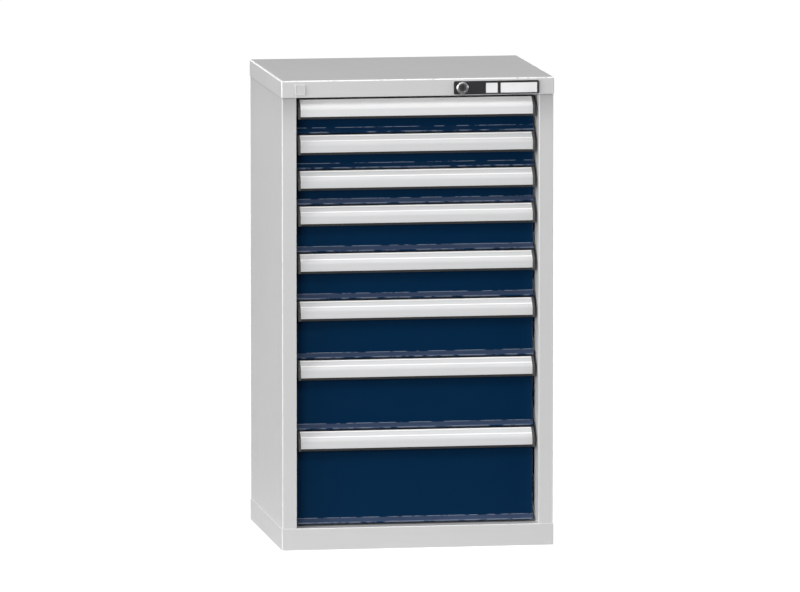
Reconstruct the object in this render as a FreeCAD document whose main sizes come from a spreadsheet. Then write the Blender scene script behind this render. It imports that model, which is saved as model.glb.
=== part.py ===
import FreeCAD, Part
import math
import os
from collections import namedtuple

import Sketcher
from FreeCAD import Vector

# Free-standing steel drawer cabinet with eight drawers on telescopic slides and a central lock.
# Millimetres. The origin is the middle of the footprint on the floor, +X points to the right,
# +Z points up, and the drawers open towards -Y.

DIMENSIONS = {
    # Carcass
    "cabinet_width": 578.0,
    "cabinet_depth": 470.0,
    "plinth_height": 46.0,
    "cover_height": 36.0,
    "carcass_gap": 4.0,
    "panel_setback": 1.4,
    "plinth_sheet": 1.5,
    "panel_sheet": 1.2,
    "cover_sheet": 1.2,
    "back_sheet": 1.0,
    "cover_edge_radius": 3.0,
    "plinth_corner_radius": 2.0,
    "foot_flange": 25.0,
    "cover_hem": 9.0,
    "cover_hem_gap": 2.0,
    "panel_bend_radius": 2.0,
    "column_width": 30.6,
    "column_return": 45.6,
    "rear_flange": 20.0,
    "panel_headroom": 4.8,
    "rib_setback": 138.0,
    "rib_width": 30.0,
    "rib_slope": 4.0,
    "rib_depth": 3.0,
    # Slotted uprights
    "slot_pitch": 25.0,
    "slot_height": 10.0,
    "slot_width": 14.0,
    "upright_sheet": 1.5,
    "upright_width": 45.0,
    "upright_front_gap": 1.0,
    "upright_rear_gap": 6.4,
    "upright_headroom": 2.0,
    # Slides
    "seat_gap": 0.2,
    "slide_gap": 0.8,
    "rail_sheet": 1.8,
    "rail_depth": 11.4,
    "rail_height": 24.0,
    "rail_centre": 20.0,
    "rail_setback": 59.0,
    "rail_rear_gap": 7.4,
    "hook_width": 8.0,
    "hook_height": 6.0,
    "hook_lip": 4.0,
    "hook_sheet": 1.8,
    "member_sheet": 1.6,
    "member_height": 22.0,
    "roller_width": 9.4,
    "roller_gap": 0.4,
    "roller_inset": 24.0,
    # Drawers
    "tray_sheet": 1.0,
    "tray_floor": 5.0,
    "tray_headroom": 12.0,
    "tray_rear_space": 26.4,
    "tray_hem": 6.0,
    "front_sheet": 1.2,
    "front_setback": 44.0,
    "front_side_gap": 6.0,
    "front_top_gap": 4.0,
    "front_return": 12.0,
    "flange_height": 12.5,
    "flange_reach": 14.0,
    "flange_drop": 9.5,
    "flange_lip": 2.5,
    # Handle grip, measured back from the cabinet's front and down from the drawer's upper limit
    "grip_top_gap": 2.0,
    "grip_side_gap": 5.8,
    "grip_wall": 3.4,
    "brow_setback": 33.6,
    "knee_setback": 14.8,
    "knee_drop": 19.3,
    "knee_radius": 15.0,
    "lip_setback": 13.8,
    "lip_drop": 43.0,
    "grip_flange": 2.0,
    "grip_flange_drop": 24.0,
    "cap_width": 5.3,
    "strip_sheet": 1.2,
    "strip_upper_margin": 1.5,
    "strip_lower_margin": 5.0,
    # Lock bezel and badge
    "bezel_width": 180.0,
    "bezel_height": 27.7,
    "bezel_depth": 4.5,
    "bezel_side_gap": 1.5,
    "bezel_lift": 2.3,
    "bezel_radius": 3.0,
    "window_lower_margin": 2.2,
    "window_upper_margin": 3.9,
    "window_depth": 1.5,
    "square_window_offset": 67.4,
    "square_window_width": 25.4,
    "long_window_offset": 98.6,
    "long_window_width": 77.9,
    "badge_side": 20.6,
    "badge_depth": 2.5,
    "badge_radius": 1.5,
    "badge_inset": 40.4,
    # Central lock
    "lock_offset": 17.8,
    "rosette_diameter": 25.0,
    "rosette_height": 3.5,
    "rosette_chamfer": 1.0,
    "barrel_diameter": 18.5,
    "barrel_reach": 30.0,
    "barrel_clearance": 0.2,
    "nut_width": 24.0,
    "nut_height": 5.0,
    "plug_diameter": 14.0,
    "plug_clearance": 0.3,
    "plug_stand": 0.6,
    "plug_tail": 2.0,
    "key_slot_width": 2.2,
    "key_slot_height": 9.0,
    "key_slot_depth": 14.0,
    "shaft_diameter": 8.0,
    "shaft_clearance": 0.3,
    "crank_diameter": 20.0,
    "crank_sheet": 2.5,
    "crank_gap": 3.0,
    "crank_arm": 4.0,
    "crank_pin_diameter": 4.0,
    "crank_pin_clearance": 0.5,
    "bar_width": 20.0,
    "bar_sheet": 3.0,
    "bar_setback": 17.4,
    "bar_clearance": 0.6,
    "bar_margin": 6.0,
    "bar_window_width": 6.0,
    "bar_window_play": 1.0,
    "catch_sheet": 2.0,
    "catch_height": 16.0,
    "catch_hook": 4.0,
    "catch_play": 1.0,
    "guide_height": 20.0,
    "guide_wall": 1.5,
    "guide_side_wall": 3.5,
    "hanger_width": 24.0,
    "hanger_flange": 16.0,
    "hanger_setback": 40.0,
    "hanger_drop": 9.0,
}

# Front heights from the top drawer down, counted in slot pitches
DRAWER_STEPS = (3, 3, 3, 4, 4, 5, 6, 8)

# How far a cutting sketch starts outside the sheet that it cuts
OVERRUN = 1.0

# Which way a sketch on each origin plane faces along the remaining axis
FACING = {"XY_Plane": 1, "XZ_Plane": -1, "YZ_Plane": 1}

LEFT = -1
RIGHT = 1
SIDE_NAMES = {LEFT: "left", RIGHT: "right"}

Circle = namedtuple("Circle", "across up diameter")


class Size:
    """A length with the formula that the document keeps for it and its present value."""

    def __init__(self, formula, value):
        self.formula = formula
        self.value = value

    def __add__(self, other):
        other = as_size(other)
        return Size(f"({self.formula} + {other.formula})", self.value + other.value)

    def __sub__(self, other):
        other = as_size(other)
        return Size(f"({self.formula} - {other.formula})", self.value - other.value)

    def __mul__(self, factor):
        return Size(f"({self.formula} * {factor})", self.value * factor)

    def __truediv__(self, divisor):
        return Size(f"({self.formula} / {divisor})", self.value / divisor)

    def __neg__(self):
        return Size(f"(0 - {self.formula})", -self.value)


def as_size(number):
    """The number itself as a size, unless it is one already."""
    if isinstance(number, Size):
        return number
    return Size(f"({float(number)})", float(number))


def make_sheet():
    """Write the driving dimensions into a spreadsheet and give each one as a size by its name."""
    sheet = doc.addObject("Spreadsheet::Sheet", "Sizes")
    for row, (name, value) in enumerate(DIMENSIONS.items(), start=1):
        sheet.set(f"A{row}", name)
        sheet.set(f"B{row}", str(value))
        sheet.setAlias(f"B{row}", name)
    doc.recompute()
    return namedtuple("Sizes", DIMENSIONS)(
        **{name: Size(f"Sizes.{name}", value) for name, value in DIMENSIONS.items()}
    )


doc = FreeCAD.newDocument("drawer_cabinet")
size = make_sheet()


def bind(thing, name, length):
    """Tie a property of an object to a size's formula."""
    thing.setExpression(name, as_size(length).formula)


def new_body(label, height=None):
    """An empty body, whose own base lies at the given height."""
    body = doc.addObject("PartDesign::Body", label)
    body.Label = label
    if height is not None:
        bind(body, "Placement.Base.z", height)
    return body


def draw_outline(sketch, points):
    """Add a closed straight-sided outline whose corners are all tied to the sheet."""
    corners = [Vector(as_size(across).value, as_size(up).value, 0) for across, up in points]
    first = sketch.GeometryCount
    edges = [Part.LineSegment(start, end) for start, end in zip(corners, corners[1:] + corners[:1])]
    sketch.addGeometry(edges, False)
    for index, (across, up) in enumerate(points):
        edge = first + index
        following = first + (index + 1) % len(points)
        sketch.addConstraint(Sketcher.Constraint("Coincident", edge, 2, following, 1))
        for kind, length in (("DistanceX", as_size(across)), ("DistanceY", as_size(up))):
            constraint = sketch.addConstraint(Sketcher.Constraint(kind, edge, 1, length.value))
            bind(sketch, f"Constraints[{constraint}]", length)


def draw_circle(sketch, circle):
    """Add a circle whose centre and diameter are tied to the sheet."""
    across, up, diameter = (as_size(length) for length in circle)
    centre = Vector(across.value, up.value, 0)
    edge = sketch.addGeometry(Part.Circle(centre, Vector(0, 0, 1), diameter.value / 2), False)
    limits = (
        (Sketcher.Constraint("DistanceX", edge, 3, across.value), across),
        (Sketcher.Constraint("DistanceY", edge, 3, up.value), up),
        (Sketcher.Constraint("Diameter", edge, diameter.value), diameter),
    )
    for limit, length in limits:
        bind(sketch, f"Constraints[{sketch.addConstraint(limit)}]", length)


def draw(body, name, plane, level, shapes):
    """A sketch on one of the body's own origin planes, moved to a level along its third axis."""
    sketch = body.newObject("Sketcher::SketchObject", name)
    support = next(item for item in body.Origin.OriginFeatures if item.Role == plane)
    sketch.AttachmentSupport = [(support, "")]
    sketch.MapMode = "FlatFace"
    bind(sketch, "AttachmentOffset.Base.z", as_size(level) * FACING[plane])
    for shape in shapes:
        if isinstance(shape, Circle):
            draw_circle(sketch, shape)
        else:
            draw_outline(sketch, shape)
    return sketch


def pad(body, name, plane, start, end, *shapes):
    """Add material inside the shapes from one level to a higher one."""
    feature = body.newObject("PartDesign::Pad", name)
    feature.Profile = draw(body, f"{name}_sketch", plane, start, shapes)
    feature.Reversed = FACING[plane] < 0
    bind(feature, "Length", as_size(end) - start)
    return feature


def pocket(body, name, plane, start, end, *shapes):
    """Take material away inside the shapes from one level to a higher one."""
    feature = body.newObject("PartDesign::Pocket", name)
    feature.Profile = draw(body, f"{name}_sketch", plane, start, shapes)
    feature.Reversed = FACING[plane] > 0
    bind(feature, "Length", as_size(end) - start)
    return feature


def dress(body, kind, name, length_name, length, places):
    """Round or bevel the edges that pass through the given places."""
    doc.recompute()
    base = body.Tip
    points = [Vector(*(as_size(part).value for part in place)) for place in places]
    edges = []
    for number, edge in enumerate(base.Shape.Edges, start=1):
        if any(edge.distToShape(Part.Vertex(point))[0] < 1e-4 for point in points):
            edges.append(f"Edge{number}")
    feature = body.newObject(f"PartDesign::{kind}", name)
    feature.Base = (base, edges)
    bind(feature, length_name, length)
    return feature


def fillet(body, name, radius, places):
    """Round the edges that pass through the given places."""
    return dress(body, "Fillet", name, "Radius", radius, places)


def hollow(body, name, sheet):
    """Turn the solid into a pan of one sheet thickness that is open below."""
    doc.recompute()
    base = body.Tip
    faces = base.Shape.Faces
    open_face = min(range(len(faces)), key=lambda index: faces[index].CenterOfMass.z)
    feature = body.newObject("PartDesign::Thickness", name)
    feature.Base = (base, [f"Face{open_face + 1}"])
    feature.Reversed = True
    bind(feature, "Value", sheet)
    return feature


def group(label, pieces):
    """Several separate solids that are handled as one sub-part."""
    compound = doc.addObject("Part::Compound", label)
    compound.Label = label
    compound.Links = pieces
    return compound


def rectangle(left, right, bottom, top):
    """The corners of an upright rectangle."""
    return [(left, bottom), (right, bottom), (right, top), (left, top)]


def about(middle, width):
    """The two ends of a stretch with the given middle."""
    return middle - width / 2, middle + width / 2


def on_side(side, near, far):
    """A stretch across the cabinet, given outwards from its middle, on one side of it."""
    return (near, far) if side == RIGHT else (-far, -near)


def heading(start, end):
    """The direction from one point to another as a pair of plain numbers."""
    across = as_size(end[0]).value - as_size(start[0]).value
    up = as_size(end[1]).value - as_size(start[1]).value
    length = math.hypot(across, up)
    return across / length, up / length


def shifted(point, distance, direction):
    """A point moved by a distance along a direction."""
    moved = []
    for length, share in zip(point, direction):
        share = round(share, 9)
        moved.append(as_size(length) + distance * share if share else as_size(length))
    return tuple(moved)


def set_in(path, distance):
    """The path moved to the left of its run by a distance, with mitred corners."""
    runs = [heading(start, end) for start, end in zip(path, path[1:])]
    normals = [(-up, across) for across, up in runs]
    moved = []
    for index, point in enumerate(path):
        before = normals[max(index - 1, 0)]
        after = normals[min(index, len(normals) - 1)]
        share = 1 + before[0] * after[0] + before[1] * after[1]
        mitre = ((before[0] + after[0]) / share, (before[1] + after[1]) / share)
        moved.append(shifted(point, distance, mitre))
    return moved


def folded(path, sheet):
    """The section of a folded sheet, with the path as one of its faces and the metal to its left."""
    return path + set_in(path, sheet)[::-1]


def mirrored(side, path):
    """A path given for the right side, on either side."""
    return [(as_size(across) * side, up) for across, up in path]


# Places that several sub-parts share
half_width = size.cabinet_width / 2
half_depth = size.cabinet_depth / 2
front = -half_depth
zone_bottom = size.plinth_height + size.carcass_gap
zone_top = zone_bottom + size.slot_pitch * sum(DRAWER_STEPS)
cover_bottom = zone_top + size.carcass_gap
cabinet_top = cover_bottom + size.cover_height
cover_underside = cabinet_top - size.cover_sheet
panel_side = half_width - size.panel_setback
panel_end = half_depth - size.panel_setback
panel_top = cover_underside - size.panel_headroom
column_edge = panel_side - size.column_width
back_outside = panel_end - size.panel_sheet
back_inside = back_outside - size.back_sheet

# The two rows of slots, one through the front uprights and one through the rear ones
front_slots = size.column_return + size.upright_front_gap + size.upright_width / 2 - panel_end
rear_slots = back_inside - size.upright_rear_gap - size.upright_width / 2

# The slide members, from the uprights inwards
rail_front = front + size.rail_setback
rail_rear = back_inside - size.rail_rear_gap
rail_outside = column_edge - size.seat_gap
member_outside = rail_outside - size.rail_depth - size.slide_gap
member_inside = member_outside - size.member_sheet
runner_inside = member_inside - size.slide_gap - size.rail_depth
tray_side = runner_inside - size.seat_gap

# Drawer faces and the space behind the drawers
face = front + size.front_setback
tray_front = face + size.front_sheet
tray_rear = back_inside - size.tray_rear_space
bar_front = back_inside - size.bar_setback
bar_rear = bar_front + size.bar_sheet

# The lock's axis and the bezel round it
bezel_right = column_edge - size.bezel_side_gap
bezel_left = bezel_right - size.bezel_width
bezel_bottom = cover_bottom + size.bezel_lift
bezel_top = bezel_bottom + size.bezel_height
bezel_face = front - size.bezel_depth
lock_across = bezel_left + size.lock_offset
lock_height = bezel_bottom + size.bezel_height / 2
rosette_face = bezel_face - size.rosette_height
barrel_end = front + size.barrel_reach
plug_end = barrel_end + size.plug_tail
crank_rear = bar_front - size.crank_gap
crank_front = crank_rear - size.crank_sheet
pin_across = lock_across - size.crank_arm
pin_height = lock_height - size.crank_arm


def drawer_bottoms():
    """The lower limit of each drawer's share of the front, from the top drawer down."""
    bottoms = []
    steps_below = sum(DRAWER_STEPS)
    for steps in DRAWER_STEPS:
        steps_below -= steps
        bottoms.append(zone_bottom + size.slot_pitch * steps_below)
    return bottoms


def make_base_plinth():
    """Folded pan, open below, with flanges that turn inwards along the floor."""
    body = new_body("base_plinth")
    footprint = rectangle(-half_width, half_width, -half_depth, half_depth)
    pad(body, "plinth_block", "XY_Plane", 0, size.plinth_height, footprint)
    corners = [(x, y, size.plinth_height / 2) for x in (-half_width, half_width) for y in (front, half_depth)]
    fillet(body, "plinth_corners", size.plinth_corner_radius, corners)
    hollow(body, "plinth_pan", size.plinth_sheet)
    inner_width = half_width - size.foot_flange
    inner_depth = half_depth - size.foot_flange
    sheet_width = half_width - size.plinth_sheet
    sheet_depth = half_depth - size.plinth_sheet
    pad(
        body, "foot_flanges", "XY_Plane", 0, size.plinth_sheet,
        rectangle(-sheet_width, sheet_width, -sheet_depth, sheet_depth),
        rectangle(-inner_width, inner_width, -inner_depth, inner_depth),
    )
    return body


def make_side_panel(side):
    """One sheet folded into front column, column return, side wall and rear flange."""
    body = new_body(f"{SIDE_NAMES[side]}_side_panel")
    path = mirrored(side, [
        (column_edge, size.column_return - panel_end),
        (column_edge, -panel_end),
        (panel_side, -panel_end),
        (panel_side, panel_end),
        (panel_side - size.rear_flange, panel_end),
    ])
    inside = set_in(path, size.panel_sheet * side)
    middle = (size.plinth_height + panel_top) / 2
    pad(body, "panel_sheet", "XY_Plane", size.plinth_height, panel_top, path + inside[::-1])
    outer_bends = [(*corner, middle) for corner in path[1:4]]
    inner_bends = [(*corner, middle) for corner in inside[1:4]]
    fillet(body, "outer_bends", size.panel_bend_radius, outer_bends)
    fillet(body, "inner_bends", size.panel_bend_radius - size.panel_sheet, inner_bends)
    return body


def make_back_panel():
    """Flat sheet with two grooves pressed in to stiffen it."""
    body = new_body("back_panel")
    end = panel_side - size.panel_bend_radius - size.seat_gap
    rib_middle = half_width - size.rib_setback
    rib_near = rib_middle - size.rib_width / 2
    rib_far = rib_middle + size.rib_width / 2
    bottom = back_outside - size.rib_depth
    right_half = [
        (rib_near, back_outside),
        (rib_near + size.rib_slope, bottom),
        (rib_far - size.rib_slope, bottom),
        (rib_far, back_outside),
        (end, back_outside),
    ]
    path = [(-across, along) for across, along in right_half[::-1]] + right_half
    section = folded(path, -size.back_sheet)
    pad(body, "back_sheet", "XY_Plane", size.plinth_height, panel_top, section)
    return body


def make_top_cover():
    """Folded pan with rounded edges, a stiffening hem over the drawers and the lock's hole."""
    body = new_body("top_cover")
    footprint = rectangle(-half_width, half_width, -half_depth, half_depth)
    pad(body, "cover_block", "XY_Plane", cover_bottom, cabinet_top, footprint)
    middle = cover_bottom + size.cover_height / 2
    upright_edges = [(x, y, middle) for x in (-half_width, half_width) for y in (front, half_depth)]
    top_edges = [(0, front, cabinet_top), (0, half_depth, cabinet_top)]
    top_edges += [(-half_width, 0, cabinet_top), (half_width, 0, cabinet_top)]
    fillet(body, "cover_edges", size.cover_edge_radius, upright_edges + top_edges)
    hollow(body, "cover_pan", size.cover_sheet)
    hem_end = column_edge - size.cover_hem_gap
    hem = rectangle(-hem_end, hem_end, front + size.cover_sheet, front + size.cover_hem)
    pad(body, "cover_hem", "XY_Plane", cover_bottom, cover_bottom + size.cover_sheet, hem)
    hole = Circle(lock_across, lock_height, size.barrel_diameter + size.barrel_clearance * 2)
    pocket(body, "lock_hole", "XZ_Plane", front - OVERRUN, front + size.cover_sheet + OVERRUN, hole)
    return body


def make_upright(side, end_name, slot_middle):
    """Channel with a row of slots at the drawer pitch, open towards the side wall."""
    body = new_body(f"upright_{end_name}_{SIDE_NAMES[side]}")
    near, far = about(slot_middle, size.upright_width)
    wall = panel_side - size.panel_sheet
    path = mirrored(side, [(wall, far), (column_edge, far), (column_edge, near), (wall, near)])
    section = folded(path, size.upright_sheet * side)
    top = cover_bottom - size.upright_headroom
    pad(body, "channel", "XY_Plane", size.plinth_height, top, section)
    first_slot = zone_bottom + size.rail_centre
    start, end = on_side(side, column_edge - OVERRUN, column_edge + size.upright_sheet + OVERRUN)
    slot = rectangle(*about(slot_middle, size.slot_width), *about(first_slot, size.slot_height))
    cut = pocket(body, "slot", "YZ_Plane", start, end, slot)
    row = body.newObject("PartDesign::LinearPattern", "slot_row")
    row.Originals = [cut]
    row.Direction = (cut.Profile[0], ["V_Axis"])
    row.Occurrences = sum(DRAWER_STEPS)
    bind(row, "Length", size.slot_pitch * (sum(DRAWER_STEPS) - 1))
    body.Tip = row
    return body


def channel_path(web, lips, height):
    """The outer faces of a channel that lies on its side, from its lower lip round to its upper one."""
    low, high = about(size.rail_centre, height)
    return [(lips, low), (web, low), (web, high), (lips, high)]


def make_cabinet_rail(side, number, bottom):
    """Channel that holds the outer rollers, hooked into one slot of each upright."""
    body = new_body(f"cabinet_rail_{number}_{SIDE_NAMES[side]}", bottom)
    path = mirrored(side, channel_path(rail_outside, rail_outside - size.rail_depth, size.rail_height))
    section = folded(path, size.rail_sheet * side)
    pad(body, "rail_channel", "XZ_Plane", rail_front, rail_rear, section)
    sill = size.rail_centre - size.slot_height / 2
    lip_face = column_edge + size.upright_sheet + size.seat_gap
    tip = lip_face + size.hook_sheet
    hook = mirrored(side, [
        (rail_outside, sill),
        (lip_face, sill),
        (lip_face, sill - size.hook_lip),
        (tip, sill - size.hook_lip),
        (tip, sill + size.hook_height),
        (rail_outside, sill + size.hook_height),
    ])
    for name, middle in (("front_hook", front_slots), ("rear_hook", rear_slots)):
        pad(body, name, "XZ_Plane", *about(middle, size.hook_width), hook)
    return body


def make_slide_member(side, number, bottom):
    """Flat bar between the two channels, with a roller riveted to its outer and to its inner face."""
    side_name = SIDE_NAMES[side]
    height = size.rail_centre
    bar = new_body(f"slide_bar_{number}_{side_name}", bottom)
    outline = rectangle(rail_front, rail_rear, *about(height, size.member_height))
    pad(bar, "bar", "YZ_Plane", *on_side(side, member_inside, member_outside), outline)
    pieces = [bar]
    roller_places = {
        "outer": (rail_rear - size.roller_inset, member_outside, member_outside + size.roller_width),
        "inner": (rail_front + size.roller_inset, member_inside - size.roller_width, member_inside),
    }
    for name, (along, near, far) in roller_places.items():
        roller = new_body(f"{name}_roller_{number}_{side_name}", bottom)
        tread = Circle(along, height, size.rail_height - (size.rail_sheet + size.roller_gap) * 2)
        pad(roller, "roller", "YZ_Plane", *on_side(side, near, far), tread)
        pieces.append(roller)
    return pieces


def make_drawer_runner(side, number, bottom):
    """Channel on the tray's side wall that rests on the inner rollers."""
    body = new_body(f"drawer_runner_{number}_{SIDE_NAMES[side]}", bottom)
    path = mirrored(side, channel_path(runner_inside, runner_inside + size.rail_depth, size.rail_height))
    section = folded(path, -size.rail_sheet * side)
    pad(body, "runner_channel", "XZ_Plane", rail_front, tray_rear, section)
    return body


def make_tray_pan(number, bottom, top):
    """The tray's floor and side walls, folded from one sheet with a hem outwards along each wall."""
    body = new_body(f"tray_pan_{number}", bottom)
    hem_tip = tray_side + size.tray_hem
    hem_face = top - size.tray_sheet
    path = [
        (-hem_tip, hem_face),
        (-tray_side, hem_face),
        (-tray_side, size.tray_floor),
        (tray_side, size.tray_floor),
        (tray_side, hem_face),
        (hem_tip, hem_face),
    ]
    pad(body, "pan_sheet", "XZ_Plane", tray_front, tray_rear, folded(path, size.tray_sheet))
    return body


def make_tray_wall(name, number, bottom, top, start, end):
    """Flat wall welded into the tray pan, at its front or its rear."""
    body = new_body(f"tray_{name}_wall_{number}", bottom)
    inside = tray_side - size.tray_sheet
    outline = rectangle(-inside, inside, size.tray_floor + size.tray_sheet, top)
    pad(body, "wall_sheet", "XZ_Plane", start, end, outline)
    return body


def make_lock_catch(number, bottom):
    """Plate on the tray's rear wall that reaches through the lock bar, with a notch for its sill."""
    body = new_body(f"lock_catch_{number}", bottom)
    low, high = about(size.rail_centre, size.catch_height)
    notch_near = bar_front - size.catch_play
    notch_far = bar_rear + size.catch_play
    notch_top = size.rail_centre + size.catch_play
    end = notch_far + size.catch_hook
    outline = [
        (tray_rear, low),
        (notch_near, low),
        (notch_near, notch_top),
        (notch_far, notch_top),
        (notch_far, low),
        (end, low),
        (end, high),
        (tray_rear, high),
    ]
    pad(body, "catch_plate", "YZ_Plane", *about(lock_across, size.catch_sheet), outline)
    return body


def make_drawer_front(number, bottom, height):
    """Folded sheet with a return along its top and sides and a lower flange bent out to a lip."""
    body = new_body(f"drawer_{number}_front", bottom)
    half = column_edge - size.front_side_gap
    top = height - size.front_top_gap
    back = face + size.front_return
    lip_face = face - size.flange_reach
    lip_top = size.flange_height - size.flange_drop
    path = [
        (back, top),
        (face, top),
        (face, size.flange_height),
        (lip_face, lip_top),
        (lip_face, lip_top - size.flange_lip),
    ]
    pad(body, "front_sheet", "YZ_Plane", -half, half, folded(path, size.front_sheet))
    side_return = rectangle(
        face + size.front_sheet, back,
        size.flange_height + size.front_sheet, top - size.front_sheet,
    )
    for side in (LEFT, RIGHT):
        start, end = on_side(side, half - size.front_sheet, half)
        pad(body, f"{SIDE_NAMES[side]}_return", "YZ_Plane", start, end, side_return)
    return body


def make_handle(number, bottom, height):
    """Dark grip along the drawer's top, its two end caps and the strip set into its face."""
    grip_back = face - size.seat_gap
    cap_outside = column_edge - size.grip_side_gap
    cap_inside = cap_outside - size.cap_width
    brow = (front + size.brow_setback, height - size.grip_top_gap)
    knee = (front + size.knee_setback, height - size.knee_drop)
    lip = (front + size.lip_setback, height - size.lip_drop)
    top_back = (grip_back, height - size.grip_top_gap)
    flange_face = grip_back - size.grip_flange
    flange_end = height - size.grip_flange_drop

    def along_face(upper_margin, lower_margin):
        """The handle's outer face without a margin at its upper and lower end."""
        upper = shifted(brow, upper_margin, heading(brow, knee))
        lower = shifted(lip, lower_margin, heading(lip, knee))
        return [upper, knee, lower]

    recess_depth = size.strip_sheet + size.seat_gap
    recess_face = along_face(size.strip_upper_margin - size.seat_gap, size.strip_lower_margin - size.seat_gap)
    recess = set_in(recess_face, recess_depth)
    inner = set_in([top_back, brow, knee, lip], size.grip_wall)
    inner_back = (flange_face, inner[0][1])

    grip = new_body(f"grip_profile_{number}", bottom)
    section = [
        top_back, brow, recess_face[0], *recess, recess_face[2], lip,
        inner[3], inner[2], inner[1], inner_back,
        (flange_face, flange_end), (grip_back, flange_end),
    ]
    pad(grip, "grip_profile", "YZ_Plane", -cap_inside, cap_inside, section)
    fillet(grip, "recess_knee", size.knee_radius - recess_depth, [(0, *recess[1])])
    fillet(grip, "inner_knee", size.knee_radius - size.grip_wall, [(0, *inner[2])])

    caps = []
    for side in (LEFT, RIGHT):
        cap = new_body(f"end_cap_{number}_{SIDE_NAMES[side]}", bottom)
        start, end = on_side(side, cap_inside, cap_outside)
        outline = [top_back, brow, knee, lip, inner[3], (grip_back, flange_end)]
        pad(cap, "end_cap", "YZ_Plane", start, end, outline)
        fillet(cap, "cap_knee", size.knee_radius, [((start + end) / 2, *knee)])
        caps.append(cap)

    strip_face = along_face(size.strip_upper_margin, size.strip_lower_margin)
    strip = new_body(f"drawer_{number}_label_strip", bottom)
    pad(strip, "strip_sheet", "YZ_Plane", -cap_inside, cap_inside, folded(strip_face, size.strip_sheet))
    inside_knee = set_in(strip_face, size.strip_sheet)[1]
    fillet(strip, "outer_knee", size.knee_radius, [(0, *knee)])
    fillet(strip, "strip_inner_knee", size.knee_radius - size.strip_sheet, [(0, *inside_knee)])
    return [grip, *caps], strip


def make_lock_bezel():
    """Raised plate on the cover with the lock's hole and two shallow windows."""
    body = new_body("lock_bezel")
    outline = rectangle(bezel_left, bezel_right, bezel_bottom, bezel_top)
    pad(body, "bezel_plate", "XZ_Plane", bezel_face, front, outline)
    middle = front - size.bezel_depth / 2
    corners = [(x, middle, z) for x in (bezel_left, bezel_right) for z in (bezel_bottom, bezel_top)]
    fillet(body, "bezel_corners", size.bezel_radius, corners)
    window_floor = bezel_face + size.window_depth
    pocket(body, "windows", "XZ_Plane", bezel_face - OVERRUN, window_floor, *window_outlines(0))
    hole = Circle(lock_across, lock_height, size.barrel_diameter + size.barrel_clearance * 2)
    pocket(body, "barrel_hole", "XZ_Plane", bezel_face - OVERRUN, front + OVERRUN, hole)
    return body


def window_outlines(margin):
    """The square window and the long one, drawn in by a margin all round."""
    outlines = []
    places = (
        (size.square_window_offset, size.square_window_width),
        (size.long_window_offset, size.long_window_width),
    )
    bottom = bezel_bottom + size.window_lower_margin + margin
    top = bezel_top - size.window_upper_margin - margin
    for offset, width in places:
        left = bezel_left + offset
        outlines.append(rectangle(left + margin, left + width - margin, bottom, top))
    return outlines


def make_label_plates():
    """Two blank plates in the bezel's windows, just below its face."""
    plates = []
    for name, outline in zip(("square", "long"), window_outlines(size.seat_gap)):
        body = new_body(f"{name}_label_plate")
        floor = bezel_face + size.window_depth
        pad(body, "plate", "XZ_Plane", bezel_face + size.seat_gap, floor, outline)
        plates.append(body)
    return group("label_plates", plates)


def make_badge_plate():
    """Small blank raised plate near the cover's left end."""
    body = new_body("badge_plate")
    left, right = about(size.badge_inset - half_width, size.badge_side)
    bottom, top = about(lock_height, size.badge_side)
    outer = front - size.badge_depth
    pad(body, "badge", "XZ_Plane", outer, front, rectangle(left, right, bottom, top))
    corners = [(x, front - size.badge_depth / 2, z) for x in (left, right) for z in (bottom, top)]
    fillet(body, "badge_corners", size.badge_radius, corners)
    return body


def make_lock_cylinder():
    """Barrel with its rosette in front and the nut that holds it to the cover from behind."""
    barrel = new_body("lock_barrel")
    rosette = Circle(lock_across, lock_height, size.rosette_diameter)
    pad(barrel, "rosette", "XZ_Plane", rosette_face, bezel_face, rosette)
    rim = (lock_across + size.rosette_diameter / 2, rosette_face, lock_height)
    dress(barrel, "Chamfer", "rosette_bevel", "Size", size.rosette_chamfer, [rim])
    shank = Circle(lock_across, lock_height, size.barrel_diameter)
    pad(barrel, "shank", "XZ_Plane", bezel_face, barrel_end, shank)
    bore = Circle(lock_across, lock_height, size.plug_diameter + size.plug_clearance * 2)
    pocket(barrel, "bore", "XZ_Plane", rosette_face - OVERRUN, barrel_end + OVERRUN, bore)

    nut = new_body("lock_nut")
    corner_radius = size.nut_width / (2 * math.cos(math.pi / 6))
    corners = []
    for corner in range(6):
        angle = corner * math.pi / 3
        corners.append(shifted((lock_across, lock_height), corner_radius, (math.cos(angle), math.sin(angle))))
    nut_face = front + size.cover_sheet
    thread = Circle(lock_across, lock_height, size.barrel_diameter + size.barrel_clearance * 2)
    pad(nut, "nut", "XZ_Plane", nut_face, nut_face + size.nut_height, corners, thread)
    return group("lock_cylinder", [barrel, nut])


def make_lock_plug():
    """Turning core of the lock with its upright key slot."""
    body = new_body("lock_plug")
    plug_face = rosette_face - size.plug_stand
    pad(body, "core", "XZ_Plane", plug_face, plug_end, Circle(lock_across, lock_height, size.plug_diameter))
    slot = rectangle(*about(lock_across, size.key_slot_width), *about(lock_height, size.key_slot_height))
    pocket(body, "key_slot", "XZ_Plane", plug_face - OVERRUN, plug_face + size.key_slot_depth, slot)
    return body


def make_lock_shaft():
    """Round rod that carries the plug's turn to the crank at the back."""
    body = new_body("lock_shaft")
    pad(body, "rod", "XZ_Plane", plug_end, crank_front, Circle(lock_across, lock_height, size.shaft_diameter))
    return body


def make_lock_crank():
    """Disc on the shaft's rear end, with the pin that lifts the lock bar."""
    body = new_body("lock_crank")
    disc = Circle(lock_across, lock_height, size.crank_diameter)
    pad(body, "disc", "XZ_Plane", crank_front, crank_rear, disc)
    pin = Circle(pin_across, pin_height, size.crank_pin_diameter)
    pad(body, "crank_pin", "XZ_Plane", crank_rear, bar_rear + size.crank_pin_clearance, pin)
    return body


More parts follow.
